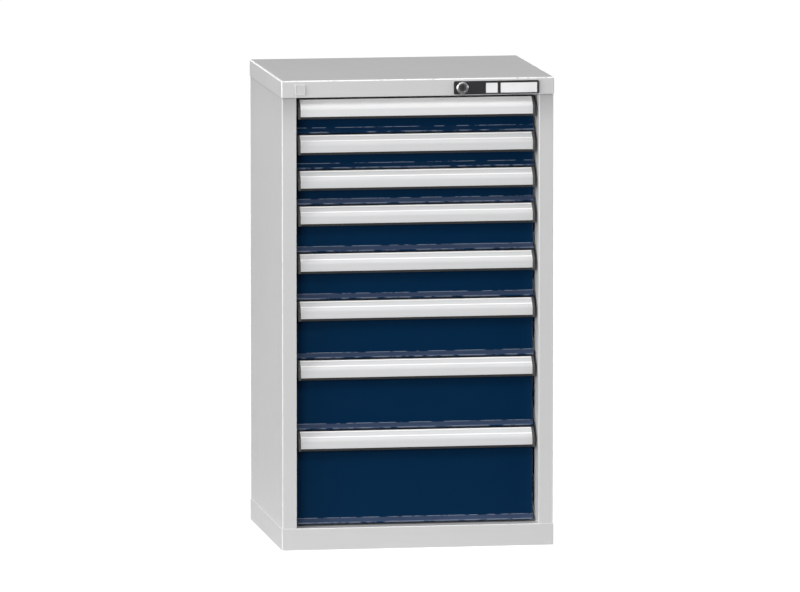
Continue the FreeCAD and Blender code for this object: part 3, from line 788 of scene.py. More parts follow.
@dataclass(frozen=True)
class PowderCoat(Finish):
    """Baked powder paint on sheet steel, with a fine orange peel.

    Its eased edges are lightened, partly as worn paint and partly as a painted highlight that is
    strongest where they look up. Dust lies on what looks up, and on the blue flanges it is also a
    painted sheen of light from above. Below the eaves, which are at a height in metres, or 0 for none,
    it is darkened by painted shade, with a painted shadow line along the seam.
    """

    name: str
    slot: str
    colour: Colour
    thin: Colour
    roughness: float = 0.38
    gloss: float = 0.5
    tone: Noise = Noise(3.0, 3.0, (0.985, 1.015))
    matt: Noise = Noise(26.0, 4.0, (-0.03, 0.04))
    marks: Noise = broken(90.0, 0.2, 0.45)
    edge_share: float = 0.3
    edge_tilt: Point = (0.05, 0.35)
    dust: Noise = Noise(14.0, 3.0, (0.0, 0.03), (0.3, 0.75))
    dust_tilt: Point = (0.6, 0.8)
    dust_tone: Colour = (0.52, 0.54, 0.56)
    dust_matt: float = 1.2
    eaves: float = 0.0
    eaves_reach: float = 0.1
    eaves_share: float = 0.38
    eaves_side: float = 0.2
    eaves_front: Point = (-0.9, -0.5)
    seam_reach: float = 0.0035
    seam_share: float = 0.3
    grime_tone: Colour = (0.1, 0.1, 0.1)
    peel_size: float = 0.0022
    peel_depth: float = 0.00001
    peel_strength: float = 0.35

    def grime(self, nodes: Nodes, frontward: Socket) -> Socket:
        """Painted shade that thickens towards the eaves, most on the front, and a painted seam shadow.

        Args:
            nodes: The nodes of the material.
            frontward: How far the surface faces along y.

        Returns:
            The share of painted shade.
        """
        height = nodes.parts(nodes.add("TexCoord").outputs["Object"])["Z"]
        near = nodes.spread(height, self.eaves - self.eaves_reach, self.eaves, 0.0, 1.0)
        seam = nodes.spread(height, self.eaves - self.seam_reach, self.eaves, 0.0, self.seam_share)
        side_share = self.eaves_side * self.eaves_share
        share = nodes.spread(frontward, *self.eaves_front, self.eaves_share, side_share)
        shade_under_eaves = nodes.maths("MULTIPLY", nodes.maths("MULTIPLY", near, near), share)
        return nodes.maths("ADD", shade_under_eaves, seam)

    def shade(self, nodes: Nodes) -> bpy.types.Node:
        """Paint that varies a little in tone and gloss, with its edges lightened as wear and as a painted
        highlight.

        Args:
            nodes: The nodes of the material.

        Returns:
            The shader.
        """
        places = nodes.places()
        facing = nodes.facing()
        base = nodes.mottled(self.colour, nodes.vary(places, self.tone))
        # Painted shade below the cover's eaves, with a painted shadow line along the seam
        if self.eaves > 0:
            base = nodes.blend(self.grime(nodes, facing["Y"]), base, self.grime_tone)
        # The eased edges are lightened as wear and as a painted highlight, fully where they look up
        tilted = nodes.spread(facing["Z"], *self.edge_tilt, self.edge_share, 1.0)
        rubbed = nodes.maths("MULTIPLY", nodes.wear(places, self.marks), tilted)
        base = nodes.blend(rubbed, base, self.thin)
        # Dust on what looks up, which on the blue flanges is also a painted sheen of light from above
        lying = nodes.spread(facing["Z"], *self.dust_tilt, 0.0, 1.0)
        dust = nodes.maths("MULTIPLY", lying, nodes.vary(places, self.dust))
        base = nodes.blend(dust, base, self.dust_tone)
        dulled = nodes.maths("MULTIPLY", dust, self.dust_matt)
        rough = nodes.maths("ADD", nodes.vary(places, self.matt, self.roughness), dulled)
        peel = nodes.noise(places, 1.0 / self.peel_size, 1.5)
        return nodes.add(
            "BsdfPrincipled", Base_Color=base, Roughness=rough, Specular_IOR_Level=self.gloss,
            Normal=nodes.bump(peel, self.peel_strength, self.peel_depth),
        )


@dataclass(frozen=True)
class Moulding(Finish):
    """Moulded or extruded plastic with a fine grain."""

    name: str
    slot: str
    colour: Colour
    rubbed: Colour
    roughness: float = 0.5
    gloss: float = 0.4
    tone: Noise = Noise(9.0, 3.0, (0.93, 1.07))
    matt: Noise = Noise(40.0, 4.0, (-0.05, 0.06))
    marks: Noise = broken(120.0, 0.42, 0.62)
    edge_share: float = 0.6
    edge_polish: float = 0.12
    grain_size: float = 0.0006
    grain_depth: float = 0.00003
    grain_strength: float = 0.4

    def shade(self, nodes: Nodes) -> bpy.types.Node:
        """Grained plastic, polished a little where hands rub its edges.

        Args:
            nodes: The nodes of the material.

        Returns:
            The shader.
        """
        places = nodes.places()
        base = nodes.mottled(self.colour, nodes.vary(places, self.tone))
        marks = nodes.wear(places, self.marks)
        base = nodes.blend(nodes.maths("MULTIPLY", marks, self.edge_share), base, self.rubbed)
        polish = nodes.maths("MULTIPLY", marks, self.edge_polish)
        rough = nodes.maths("SUBTRACT", nodes.vary(places, self.matt, self.roughness), polish)
        cells = nodes.add("TexVoronoi", {"feature": "SMOOTH_F1"}, Vector=places, Scale=1.0 / self.grain_size)
        return nodes.add(
            "BsdfPrincipled", Base_Color=base, Roughness=rough, Specular_IOR_Level=self.gloss,
            Normal=nodes.bump(cells.outputs["Distance"], self.grain_strength, self.grain_depth),
        )


@dataclass(frozen=True)
class BrushedMetal(Finish):
    """Metal with drawn streaks along one direction, lightened as painted light where it looks up."""

    name: str
    slot: str
    colour: Colour
    streak: Place
    metal: float = 1.0
    roughness: float = 0.32
    matt: Noise = Noise(22.0, 2.0, (-0.01, 0.015))
    depth: float = 0.00001
    strength: float = 0.3
    tone_spread: float = 0.05
    tone_span: Point = (0.3, 0.7)
    rubbed: Colour = (0.2, 0.2, 0.21)
    marks: Noise = broken(150.0, 0.4, 0.6)
    edge_share: float = 0.5
    faded: float = 0.0
    faded_tilt: Point = (0.15, 0.65)

    def shade(self, nodes: Nodes) -> bpy.types.Node:
        """Streaked metal, brighter along its eased edges as wear and painted highlight.

        Args:
            nodes: The nodes of the material.

        Returns:
            The shader.
        """
        streaks = nodes.noise(nodes.places(self.streak), 1.0, 4.0)
        dark, bright = 1.0 - self.tone_spread, 1.0 + self.tone_spread
        base = nodes.mottled(self.colour, nodes.spread(streaks, *self.tone_span, dark, bright))
        # What looks up is lightened towards the edge colour as painted light from above
        if self.faded > 0:
            tilted = nodes.spread(nodes.facing()["Z"], *self.faded_tilt, 0.0, self.faded)
            base = nodes.blend(tilted, base, self.rubbed)
        places = nodes.places()
        marks = nodes.wear(places, self.marks)
        base = nodes.blend(nodes.maths("MULTIPLY", marks, self.edge_share), base, self.rubbed)
        return nodes.add(
            "BsdfPrincipled", Base_Color=base, Metallic=self.metal,
            Roughness=nodes.vary(places, self.matt, self.roughness),
            Normal=nodes.bump(streaks, self.strength, self.depth),
        )


@dataclass(frozen=True)
class ZincPlate(Finish):
    """Zinc-plated steel with its cloudy crystals."""

    name: str
    slot: str
    colour: Colour
    rubbed: Colour = (0.8, 0.79, 0.77)
    roughness: float = 0.38
    crystals: float = 260.0
    crystal_span: Point = (0.1, 0.9)
    crystal_swing: Point = (0.86, 1.1)
    marks: Noise = broken(140.0, 0.4, 0.6)
    edge_share: float = 0.4
    clouds: Noise = Noise(35.0, 4.0, (-0.07, 0.1))
    scratches: Place = (4.0, 90.0, 900.0)
    scratch_depth: float = 0.00001
    scratch_strength: float = 0.25

    def shade(self, nodes: Nodes) -> bpy.types.Node:
        """Crystals of slightly different grey under fine scratches.

        Args:
            nodes: The nodes of the material.

        Returns:
            The shader.
        """
        places = nodes.places()
        cells = nodes.add("TexVoronoi", {"feature": "F1"}, Vector=places, Scale=self.crystals)
        chance = nodes.add("RGBToBW", Color=cells.outputs["Color"]).outputs[0]
        tone = nodes.spread(chance, *self.crystal_span, *self.crystal_swing)
        marks = nodes.maths("MULTIPLY", nodes.wear(places, self.marks), self.edge_share)
        base = nodes.blend(marks, nodes.mottled(self.colour, tone), self.rubbed)
        scratches = nodes.noise(nodes.places(self.scratches), 1.0, 3.0)
        return nodes.add(
            "BsdfPrincipled", Base_Color=base, Metallic=1.0,
            Roughness=nodes.vary(places, self.clouds, self.roughness),
            Normal=nodes.bump(scratches, self.scratch_strength, self.scratch_depth),
        )


@dataclass(frozen=True)
class Chrome(Finish):
    """Polished plating with hairline scratches."""

    name: str
    slot: str
    colour: Colour
    roughness: float = 0.3
    tone: Noise = Noise(120.0, 5.0, (0.97, 1.03))
    wiped: Noise = Noise(120.0, 5.0, (0.0, 0.09), (0.3, 0.8))
    hairs: Place = (3000.0, 60.0, 400.0)
    hair_depth: float = 0.000005
    hair_strength: float = 0.15

    def shade(self, nodes: Nodes) -> bpy.types.Node:
        """Bright plating, duller where it has been wiped.

        Args:
            nodes: The nodes of the material.

        Returns:
            The shader.
        """
        places = nodes.places()
        hairs = nodes.noise(nodes.places(self.hairs), 1.0, 2.0)
        return nodes.add(
            "BsdfPrincipled", Base_Color=nodes.mottled(self.colour, nodes.vary(places, self.tone)),
            Metallic=1.0, Roughness=nodes.vary(places, self.wiped, self.roughness),
            Normal=nodes.bump(hairs, self.hair_strength, self.hair_depth),
        )


# Its near-white edge colour is partly wear and partly a painted highlight along the eased edges
LIGHT_GREY = PowderCoat("light_grey_powder_coat", "light_grey", (0.60, 0.60, 0.60), (0.97, 0.97, 0.97))
# The side panels and their columns, darkened below the cover by painted shade
SHADED_SIDE_GREY = replace(LIGHT_GREY, name="light_grey_coat_under_the_cover", eaves=0.954)
# Its lighter bend marks are painted highlight lines with some wear, and its bluish dust on the flanges is a
# painted sheen of light from above
DARK_BLUE = PowderCoat(
    "dark_blue_powder_coat", "blue", (0.0, 0.0195, 0.06), (0.16, 0.19, 0.25), roughness=0.36, gloss=0.1,
    marks=broken(38.0, 0.42, 0.52), edge_share=0.9,
    dust=replace(PowderCoat.dust, swing=(0.092, 0.117)), dust_tone=(0.45, 0.52, 0.76),
)
# A copy for the narrow fronts with less of the painted sheen on their flanges, as painted shade under the
# handle above
SHADED_NARROW_BLUE = replace(
    DARK_BLUE, name="dark_blue_coat_of_the_narrow_fronts", dust=replace(PowderCoat.dust, swing=(0.008, 0.02))
)
TRAY_GREY = PowderCoat("tray_powder_coat", "tray_grey", (0.42, 0.43, 0.44), (0.55, 0.55, 0.56), 0.42)
DARK_PLASTIC = Moulding(
    "dark_grip_plastic", "dark_grey_plastic", (0.021, 0.022, 0.023), (0.04, 0.041, 0.043)
)
# The grip's dark grey plastic, made lighter as painted light on the caps
CAP_PLASTIC = Moulding(
    "end_cap_plastic", "dark_grey_plastic", (0.075, 0.075, 0.077), (0.16, 0.16, 0.162), 0.36
)
ROLLER_PLASTIC = Moulding("roller_plastic", "white_plastic", (0.62, 0.61, 0.57), (0.7, 0.69, 0.66), 0.4)
WHITE_PLASTIC = Moulding(
    "white_plate_plastic", "white_plastic", (0.82, 0.825, 0.83), (0.86, 0.86, 0.86), 0.32
)
# Its white edge marks are painted highlight lines along the bead and the rib, and what looks up is lightened
# a little as painted light from above
SATIN_SILVER = BrushedMetal(
    "satin_silver_strip", "aluminium", (0.62, 0.625, 0.63), (2.0, 350.0, 350.0), metal=0.0, roughness=0.5,
    depth=0.0000005, tone_spread=0.02, rubbed=WHITE, marks=broken(150.0, -0.2, -0.1), edge_share=1.0,
    faded=0.22,
)
# A lighter copy for the first strip under the cover, whose upper facets are painted fully lit
LIT_FIRST_STRIP_SILVER = replace(SATIN_SILVER, name="fresh_silver_strip", colour=(0.74, 0.745, 0.75), faded=1.0)
DARK_STEEL = BrushedMetal(
    "dark_turned_steel", "dark_steel", (0.22, 0.22, 0.225), (500.0, 8.0, 500.0), roughness=0.35,
    rubbed=(0.4, 0.4, 0.4),
)
ZINC = ZincPlate("zinc_plated_steel", "zinc_steel", (0.56, 0.56, 0.55))
POLISHED = Chrome("polished_chrome", "chrome", (0.72, 0.72, 0.73))


def dress(node: Piece, finish: Finish) -> None:
    """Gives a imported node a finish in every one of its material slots.

    Args:
        node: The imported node.
        finish: The finish.
    """
    if not node.data.materials:
        node.data.materials.append(finish.material())
    for index in range(len(node.material_slots)):
        node.material_slots[index].material = finish.material()


# The cabinet


@dataclass(frozen=True)
class Layout:
    """The places that several sub-assemblies share."""

    half_width: float = 289.0
    half_depth: float = 235.0
    plinth_height: float = 46.0
    zone_bottom: float = 50.0
    zone_top: float = 950.0
    cover_bottom: float = 954.0
    cabinet_top: float = 990.0
    panel_side: float = 287.6
    panel_end: float = 233.6
    panel_top: float = 984.0
    column_edge: float = 257.0
    back_outside: float = 232.4
    face: float = -191.0
    slot_pitch: float = 25.0
    drawer_steps: tuple[int, ...] = (3, 3, 3, 4, 4, 5, 6, 8)
    rail_height: float = 20.0
    rail_half: float = 12.0
    rail_flange: float = 11.4
    rail_sheet: float = 1.8
    rail_bend: float = 2.6
    rail_start: float = -176.0

    @property
    def front(self) -> float:
        """The cabinet's foremost plane."""
        return -self.half_depth

    def drawers(self) -> list[tuple[int, float, float]]:
        """Shares the front out among the drawers.

        Returns:
            Each drawer's number and the lower and upper limit of its share of the front.
        """
        result, steps_above = [], 0
        for number, steps in enumerate(self.drawer_steps, 1):
            top = self.zone_top - self.slot_pitch * steps_above
            steps_above += steps
            result.append((number, self.zone_top - self.slot_pitch * steps_above, top))
        return result

    def rail(self, web: float, reach: float, bottom: float, side: Side) -> list[Point]:
        """A rail's channel section.

        Args:
            web: How far out its web stands.
            reach: How far its flanges reach outwards from there, or inwards if negative.
            bottom: The lower limit of its drawer's share of the front.
            side: The side that it is on.

        Returns:
            The path of the section.
        """
        middle = bottom + self.rail_height
        low, high = middle - self.rail_half, middle + self.rail_half
        corners = [(web + reach, low), (web, low), (web, high), (web + reach, high)]
        return side.mirror(rounded(corners, [self.rail_bend] * 2))


@dataclass(frozen=True)
class Carcass:
    """Plinth, cover, side and back panels, slotted uprights and the fixed rails."""

    layout: Layout
    sheet: float = 1.2
    plinth_sheet: float = 1.5
    cover_radius: float = 3.0
    plinth_radius: float = 2.0
    plinth_edge: float = 1.3
    plinth_brim: float = 2.0
    least_radius: float = 0.3
    edge_steps: int = 6
    foot_share: float = 0.16
    foot_flange: float = 25.0
    foot_corner: float = 4.0
    hem: float = 9.0
    hem_front: float = 0.9
    hem_gap: float = 2.0
    bend_radius: float = 2.0
    inner_radius: float = 1.3
    return_end: float = -188.0
    rear_flange: float = 20.0
    back_half: float = 285.4
    back_sheet: float = 1.0
    groove: tuple[float, float, float, float] = (136.0, 140.0, 162.0, 166.0)
    groove_depth: float = 3.0
    groove_bend: float = 2.5
    slot_places: tuple[float, float] = (-164.5, 202.5)
    slot_height: float = 10.0
    slot_width: float = 14.0
    upright_width: float = 45.0
    upright_sheet: float = 1.5
    upright_bend: float = 2.4
    upright_top: float = 952.0
    rail_gap: float = 0.2
    rail_end: float = 224.0
    hook_width: float = 8.0
    hook_drop: float = 4.0
    hook_height: float = 6.0
    hook_lip: Point = (1.7, 3.5)
    hook_root: float = 0.3
    hook_radii: Point = (0.8, 1.5)

    def ring(self, inset: float, radius: float, height: float) -> list[Place]:
        """Draws the footprint in by an inset, with points beside the opening.

        Args:
            inset: How far it is drawn in.
            radius: The radius of its corners before that.
            height: The height that it lies at.

        Returns:
            The points of the ring.
        """
        layout = self.layout
        wide, deep = layout.half_width - inset, layout.half_depth - inset
        outline = rectangle(-wide, wide, -deep, deep, max(radius - inset, self.least_radius))
        beside = (-layout.column_edge, layout.column_edge)
        return [(*point, height) for point in between([*outline, outline[0]], beside, 0)[:-1]]

    def pan(self, bottom: float, top: float, corner: float, edge: float, sheet: float) -> Shape:
        """Makes a folded pan that is open below.

        Args:
            bottom: The height of its rim.
            top: The height of its upper face.
            corner: The radius of its upright edges.
            edge: The radius round its upper face.
            sheet: The thickness of the sheet.

        Returns:
            The pan's shape.
        """
        inner = [self.ring(sheet, corner, top - sheet - HAIR / 2), self.ring(sheet, corner, bottom)]
        outer = [self.ring(0, corner, bottom)]
        for step in range(self.edge_steps + 1):
            turn = math.pi / 2 * step / self.edge_steps
            height = top - edge + edge * math.sin(turn)
            outer.append(self.ring(edge * (1 - math.cos(turn)), corner, height))
        return Shape().loft([*inner, *outer])

    def plinth(self) -> Piece:
        """Builds the plinth with its foot flanges, with fainter edge marks of wear and painted highlight
        where the panels stand on it.

        Returns:
            The plinth.
        """
        layout = self.layout
        shape = self.pan(0.0, layout.plinth_height, self.plinth_radius, self.plinth_edge, self.plinth_sheet)
        brim = layout.plinth_height - self.plinth_brim
        shape.fade(self.foot_share, lambda middle: abs(middle.x) > layout.column_edge and middle.z > brim)
        wide, deep = layout.half_width - self.plinth_sheet, layout.half_depth - self.plinth_sheet
        inner_wide, inner_deep = layout.half_width - self.foot_flange, layout.half_depth - self.foot_flange
        inside = rectangle(-inner_wide, inner_wide, -inner_deep, inner_deep, self.foot_corner)
        shape.plate(rectangle(-wide, wide, -deep, deep), Axis.Z, HAIR, self.plinth_sheet, [inside])
        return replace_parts(shape.piece("plinth", LIGHT_GREY, "cabinet", 0.35), "base_plinth")

    def cover(self) -> Piece:
        """Builds the top cover with the hem under its front.

        Returns:
            The cover.
        """
        layout = self.layout
        bottom = layout.cover_bottom
        shape = self.pan(bottom, layout.cabinet_top, self.cover_radius, self.cover_radius, self.sheet)
        end = layout.column_edge - self.hem_gap
        hem = rectangle(-end, end, layout.front + self.hem_front, layout.front + self.hem)
        shape.plate(hem, Axis.Z, bottom + HAIR, bottom + self.sheet)
        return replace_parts(shape.piece("cover", LIGHT_GREY, "cabinet", 0.5), "top_cover")

    def side_panel(self, side: Side) -> Piece:
        """Builds one side wall with its front column, the column's return and the rear flange.

        Args:
            side: The side that it is on.

        Returns:
            The side panel.
        """
        layout = self.layout
        corners = [
            (layout.column_edge, self.return_end),
            (layout.column_edge, -layout.panel_end),
            (layout.panel_side, -layout.panel_end),
            (layout.panel_side, layout.panel_end),
            (layout.panel_side - self.rear_flange, layout.panel_end),
        ]
        path = side.mirror(rounded(corners, [self.inner_radius, self.bend_radius, self.bend_radius]))
        sheet = self.sheet * side.value
        shape = Shape().sheet(path, sheet, Axis.Z, layout.plinth_height, layout.panel_top)
        piece = shape.piece(f"{side.label}_side", SHADED_SIDE_GREY, "cabinet", 0.3)
        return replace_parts(piece, f"{side.label}_side_panel")

    def back(self) -> Piece:
        """Builds the back panel with its two pressed grooves.

        Returns:
            The back panel.
        """
        layout = self.layout
        outside = layout.back_outside
        floor = outside - self.groove_depth
        places = (*self.groove, self.back_half)
        right = list(zip(places, (outside, floor, floor, outside, outside)))
        corners = [(-across, along) for across, along in right[::-1]] + right
        path = rounded(corners, [self.groove_bend] * (len(corners) - 2), 4)
        shape = Shape().sheet(path, -self.back_sheet, Axis.Z, layout.plinth_height, layout.panel_top)
        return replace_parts(shape.piece("back", LIGHT_GREY, "cabinet"), "back_panel")

    def upright(self, side: Side, end_name: str, middle: float) -> Piece:
        """Builds one channel with its row of slots.

        Args:
            side: The side that it is on.
            end_name: The end of the cabinet that it is at.
            middle: Its middle along y.

        Returns:
            The upright.
        """
        layout = self.layout
        wall = layout.panel_side - self.sheet
        far, near = middle + self.upright_width / 2, middle - self.upright_width / 2
        corners = [(wall, far), (layout.column_edge, far), (layout.column_edge, near), (wall, near)]
        low, high = middle - self.slot_width / 2, middle + self.slot_width / 2
        path = side.mirror(between(rounded(corners, [self.upright_bend] * 2), (low, high), 1))
        slots = []
        for index in range(sum(layout.drawer_steps)):
            height = layout.zone_bottom + layout.rail_height + layout.slot_pitch * index
            slots.append(Opening(height - self.slot_height / 2, height + self.slot_height / 2, low, high))
        sheet = self.upright_sheet * side.value
        shape = Shape().sheet(path, sheet, Axis.Z, layout.plinth_height, self.upright_top, slots)
        piece = shape.piece(f"{end_name}_upright_{side.label}", LIGHT_GREY, "cabinet", 0.2)
        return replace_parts(piece, f"upright_{end_name}_{side.label}")

    def rails(self, side: Side) -> Piece:
        """Builds the eight fixed rails of one side, hooked into the uprights.

        Args:
            side: The side that they are on.

        Returns:
            The rails.
        """
        layout = self.layout
        outside = layout.column_edge - self.rail_gap
        root = outside - self.hook_root
        lip, tip = (layout.column_edge + reach for reach in self.hook_lip)
        shape = Shape()
        for _, bottom, _ in layout.drawers():
            path = layout.rail(outside, -layout.rail_flange, bottom, side)
            shape.sheet(path, layout.rail_sheet * side.value, Axis.Y, layout.rail_start, self.rail_end)
            sill = bottom + layout.rail_height - self.slot_height / 2
            foot, head = sill - self.hook_drop, sill + self.hook_height
            hook = [(root, sill), (lip, sill), (lip, foot), (tip, foot), (tip, head), (root, head)]
            outline = side.mirror(rounded_loop(hook, dict(zip((3, 4), self.hook_radii))))
            for middle in self.slot_places:
                shape.plate(outline, Axis.Y, middle - self.hook_width / 2, middle + self.hook_width / 2)
        piece = shape.piece(f"fixed_rails_{side.label}", ZINC, "cabinet", 0.25)
        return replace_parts(piece, f"cabinet_rails_{side.label}")

    def build(self) -> list[Piece]:
        """Builds every piece of the carcass.

        Returns:
            The pieces.
        """
        pieces = [self.plinth(), self.cover(), self.back()]
        for side in Side:
            pieces.append(self.side_panel(side))
            pieces.append(self.rails(side))
            for end_name, middle in zip(("front", "rear"), self.slot_places):
                pieces.append(self.upright(side, end_name, middle))
        return pieces


@dataclass(frozen=True)
class Roller:
    """A roller on the slide: its place along the drawer, its pin's two ends and its own two faces."""

    along: float
    root: float
    tip: float
    near: float
    far: float


@dataclass(frozen=True)
class Drawer:
    """One drawer: front, grip with its caps and strip, tray, runners and the middle slides."""

    layout: Layout
    number: int
    bottom: float
    top: float
    sheet: float = 1.2
    front_half: float = 251.0
    front_gap: float = 4.0
    front_return: float = 12.0
    front_bends: tuple[float, float, float] = (2.0, 1.6, 2.0)
    return_inset: float = 0.9
    return_rise: float = 1.6
    flange_height: float = 10.8
    flange_reach: float = 14.0
    flange_drop: float = 7.8
    flange_lip: float = 2.5
    narrow_fronts: int = 2
    cap_inside: float = 245.9
    cap_outside: float = 251.2
    handle_top: float = 2.0
    brow_back: float = 33.6
    knee: Point = (14.8, 19.3)
    lip: Point = (13.8, 43.0)
    knee_radius: float = 15.0
    # The grip's own radius and then the cap's, at the brow and at the lip
    brow_radii: Point = (0.8, 2.5)
    lip_radii: Point = (0.9, 1.2)
    web_radii: Point = (3.0, 1.5)
    grip_wall: float = 3.4
    grip_foot: float = 24.0
    grip_web: float = 2.0
    grip_ends: Point = (1.3, 4.8)
    strip_ends: Point = (1.5, 5.0)
    strip_sheet: float = 1.2
    bead: float = 3.6
    bead_steps: int = 4
    rib_place: float = 15.0
    rib: tuple[Point, ...] = ((0.0, 0.0), (0.8, 0.3), (1.8, 0.3), (2.6, 0.0))
    seat: float = 0.2
    tray_half: float = 230.6
    tray_front: float = -189.8
    tray_rear: float = 205.0
    tray_floor: float = 5.0
    tray_headroom: float = 12.0
    tray_hem: float = 6.0
    tray_sheet: float = 1.0
    tray_bend: float = 1.6
    wall_foot: float = 0.9
    slot_half: float = 1.2
    slot_ends: Point = (12.0, 9.0)
    side_margin: float = 20.0
    end_margin: float = 18.0
    catch_tip: float = 222.0
    catch_notch: Point = (213.0, 218.0)
    catch_half: float = 8.0
    catch_sheet: float = 2.0
    catch_root: float = 0.5
    catch_rise: float = 1.0
    catch_radii: Point = (0.8, 2.0)
    lock_across: float = 93.3
    bar_across: Point = (243.0, 244.6)
    bar_along: Point = (-176.0, 224.0)
    bar_half: float = 11.0
    bar_holes: tuple[float, ...] = (-80.0, 20.0, 120.0)
    hole_radius: float = 3.5
    pin_radius: float = 3.0
    pin_gap: float = 0.05
    roller_radius: float = 9.8
    roller_edge: float = 1.2
    rollers: tuple[Roller, ...] = (
        Roller(200.0, 244.4, 254.4, 245.0, 254.0),
        Roller(-152.0, 243.2, 233.2, 233.6, 242.6),
    )

    @property
    def body(self) -> str:
        """The body that the drawer moves with."""
        return f"drawer_{self.number}"

    @property
    def axle_height(self) -> float:
        """The height of the rollers' axles."""
        return self.bottom + self.layout.rail_height

    def front(self) -> Piece:
        """Builds the painted front with its returns and the flange along its foot.

        Returns:
            The front.
        """
        face, top, half = self.layout.face, self.top - self.front_gap, self.front_half
        foot = self.bottom + self.flange_height
        back, lip_face, lip_top = face + self.front_return, face - self.flange_reach, foot - self.flange_drop
        lip_foot = lip_top - self.flange_lip
        corners = [(back, top), (face, top), (face, foot), (lip_face, lip_top), (lip_face, lip_foot)]
        shape = Shape().sheet(rounded(corners, self.front_bends), self.sheet, Axis.X, -half, half)
        inset = self.return_inset
        outline = rectangle(face + inset, back, foot + self.return_rise, top - inset)
        for side in Side:
            shape.plate(outline, Axis.X, *side.span(half - self.sheet, half))
        # The narrow fronts take the copy with less painted sheen, as painted shade under the handle above
        finish = SHADED_NARROW_BLUE if self.number <= self.narrow_fronts else DARK_BLUE
        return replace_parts(shape.piece(f"{self.body}_panel", finish, self.body, 0.4), f"{self.body}_front")

    def handle_line(self) -> list[Point]:
        """Draws the outer face of the handle in section.

        Returns:
            Its back, brow, knee and lip.
        """
        front, top = self.layout.front, self.top
        ends = [(front + back, top - drop) for back, drop in (self.knee, self.lip)]
        upper = top - self.handle_top
        return [(self.layout.face - self.seat, upper), (front + self.brow_back, upper), *ends]

    def along_face(self, upper: float, lower: float) -> list[Point]:
        """The handle's outer face without a margin at its upper and lower end."""
        _, brow, knee, lip = self.handle_line()
        return [moved(brow, upper, heading(brow, knee)), knee, moved(lip, lower, heading(lip, knee))]

    def grip(self) -> list[Piece]:
        """Builds the extruded grip and its two end caps.

        Returns:
            The grip and the caps.
        """
        line = self.handle_line()
        top_back, brow, knee, lip = line
        recess_depth = self.strip_sheet + self.seat
        outer = self.along_face(*self.grip_ends)
        inner = set_in(line, self.grip_wall)
        back, foot = top_back[0], self.top - self.grip_foot
        web = back - self.grip_web
        section = [
            top_back, brow, outer[0], *set_in(outer, recess_depth), outer[2], lip,
            inner[3], inner[2], inner[1], (web, inner[0][1]), (web, foot), (back, foot),
        ]
        knee_radius = self.knee_radius
        (brow_radius, cap_brow_radius), (lip_radius, cap_lip_radius) = self.brow_radii, self.lip_radii
        radii = {
            1: brow_radius, 4: knee_radius - recess_depth, 7: lip_radius, 8: lip_radius,
            9: knee_radius - self.grip_wall, 10: self.web_radii[0], 11: self.web_radii[1],
        }
        shape = Shape().plate(rounded_loop(section, radii, 8), Axis.X, -self.cap_inside, self.cap_inside)
        pieces = [shape.piece(f"{self.body}_grip_profile", DARK_PLASTIC, self.body, 0.2)]
        cap = [top_back, brow, knee, lip, inner[3], (back, foot)]
        radii = {1: cap_brow_radius, 2: knee_radius, 3: cap_lip_radius, 4: cap_lip_radius}
        outline = rounded_loop(cap, radii, 8)
        for side in Side:
            shape = Shape().plate(outline, Axis.X, *side.span(self.cap_inside, self.cap_outside))
            pieces.append(shape.piece(f"{self.body}_cap_{side.label}", CAP_PLASTIC, self.body, 0.7, 3))
        for piece in pieces:
            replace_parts(piece, f"{self.body}_grip")
        return pieces

    def strip(self) -> Piece:
        """Builds the silver strip that is snapped into the grip's face.

        Returns:
            The strip.
        """
        upper, knee, lip = self.along_face(*self.strip_ends)
        down = heading(upper, knee)
        out = (down[1], -down[0])
        steps = range(self.bead_steps + 1)
        # The bead's and the rib's narrow facets take the silver's white edge marks as painted highlight
        # lines
        path = [moved(upper, self.bead / self.bead_steps * step, down) for step in steps]
        for along, height in self.rib:
            path.append(moved(moved(upper, self.rib_place + along, down), height, out))
        path += rounded([path[-1], knee, lip], [self.knee_radius], 8)[1:]
        shape = Shape().sheet(path, self.strip_sheet, Axis.X, -self.cap_inside, self.cap_inside)
        # The first strip takes the lighter copy, painted fully lit on its upper facets
        finish = LIT_FIRST_STRIP_SILVER if self.number == 1 else SATIN_SILVER
        piece = shape.piece(f"{self.body}_strip", finish, self.body, 0.35, 3)
        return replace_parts(piece, f"{self.body}_label_strip")

    def slots(self, first: float, last: float) -> list[Point]:
        """Places the divider slots along a wall.

        Args:
            first: The least place of a slot's middle.
            last: The greatest one.

        Returns:
            Both ends of each slot.
        """
        pitch, half = self.layout.slot_pitch, self.slot_half
        count = int((last - first) // pitch)
        start = (first + last - count * pitch) / 2
        middles = [start + pitch * index for index in range(count + 1)]
        return [(middle - half, middle + half) for middle in middles]

    def tray(self) -> Piece:
        """Builds the folded tray with hems along its sides and slots for dividers.

        Returns:
            The tray.
        """
        half, floor, top = self.tray_half, self.bottom + self.tray_floor, self.top - self.tray_headroom
        low, high = floor + self.slot_ends[0], top - self.slot_ends[1]
        sheet, front, rear = self.tray_sheet, self.tray_front, self.tray_rear
        under = top - sheet
        right = [(half, floor), (half, under), (half + self.tray_hem, under)]
        corners = [*right[::-1], *Side.LEFT.mirror(right)]
        path = between(rounded(corners, [self.tray_bend] * 4, 5), (low, high), 1)
        margin = self.side_margin
        walls = [Opening(*ends, low, high) for ends in self.slots(front + margin, rear - margin)]
        shape = Shape().sheet(path[::-1], sheet, Axis.Y, front, rear, walls)
        inner = half - sheet
        margin = self.end_margin
        cuts = [rectangle(*ends, low, high) for ends in self.slots(-inner + margin, inner - margin)]
        for start, end in ((front, front + sheet), (rear - sheet, rear)):
            shape.plate(rectangle(-inner, inner, floor + self.wall_foot, top), Axis.Y, start, end, cuts)
        piece = shape.piece(f"{self.body}_box", TRAY_GREY, self.body, 0.2, 1)
        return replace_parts(piece, f"{self.body}_tray")

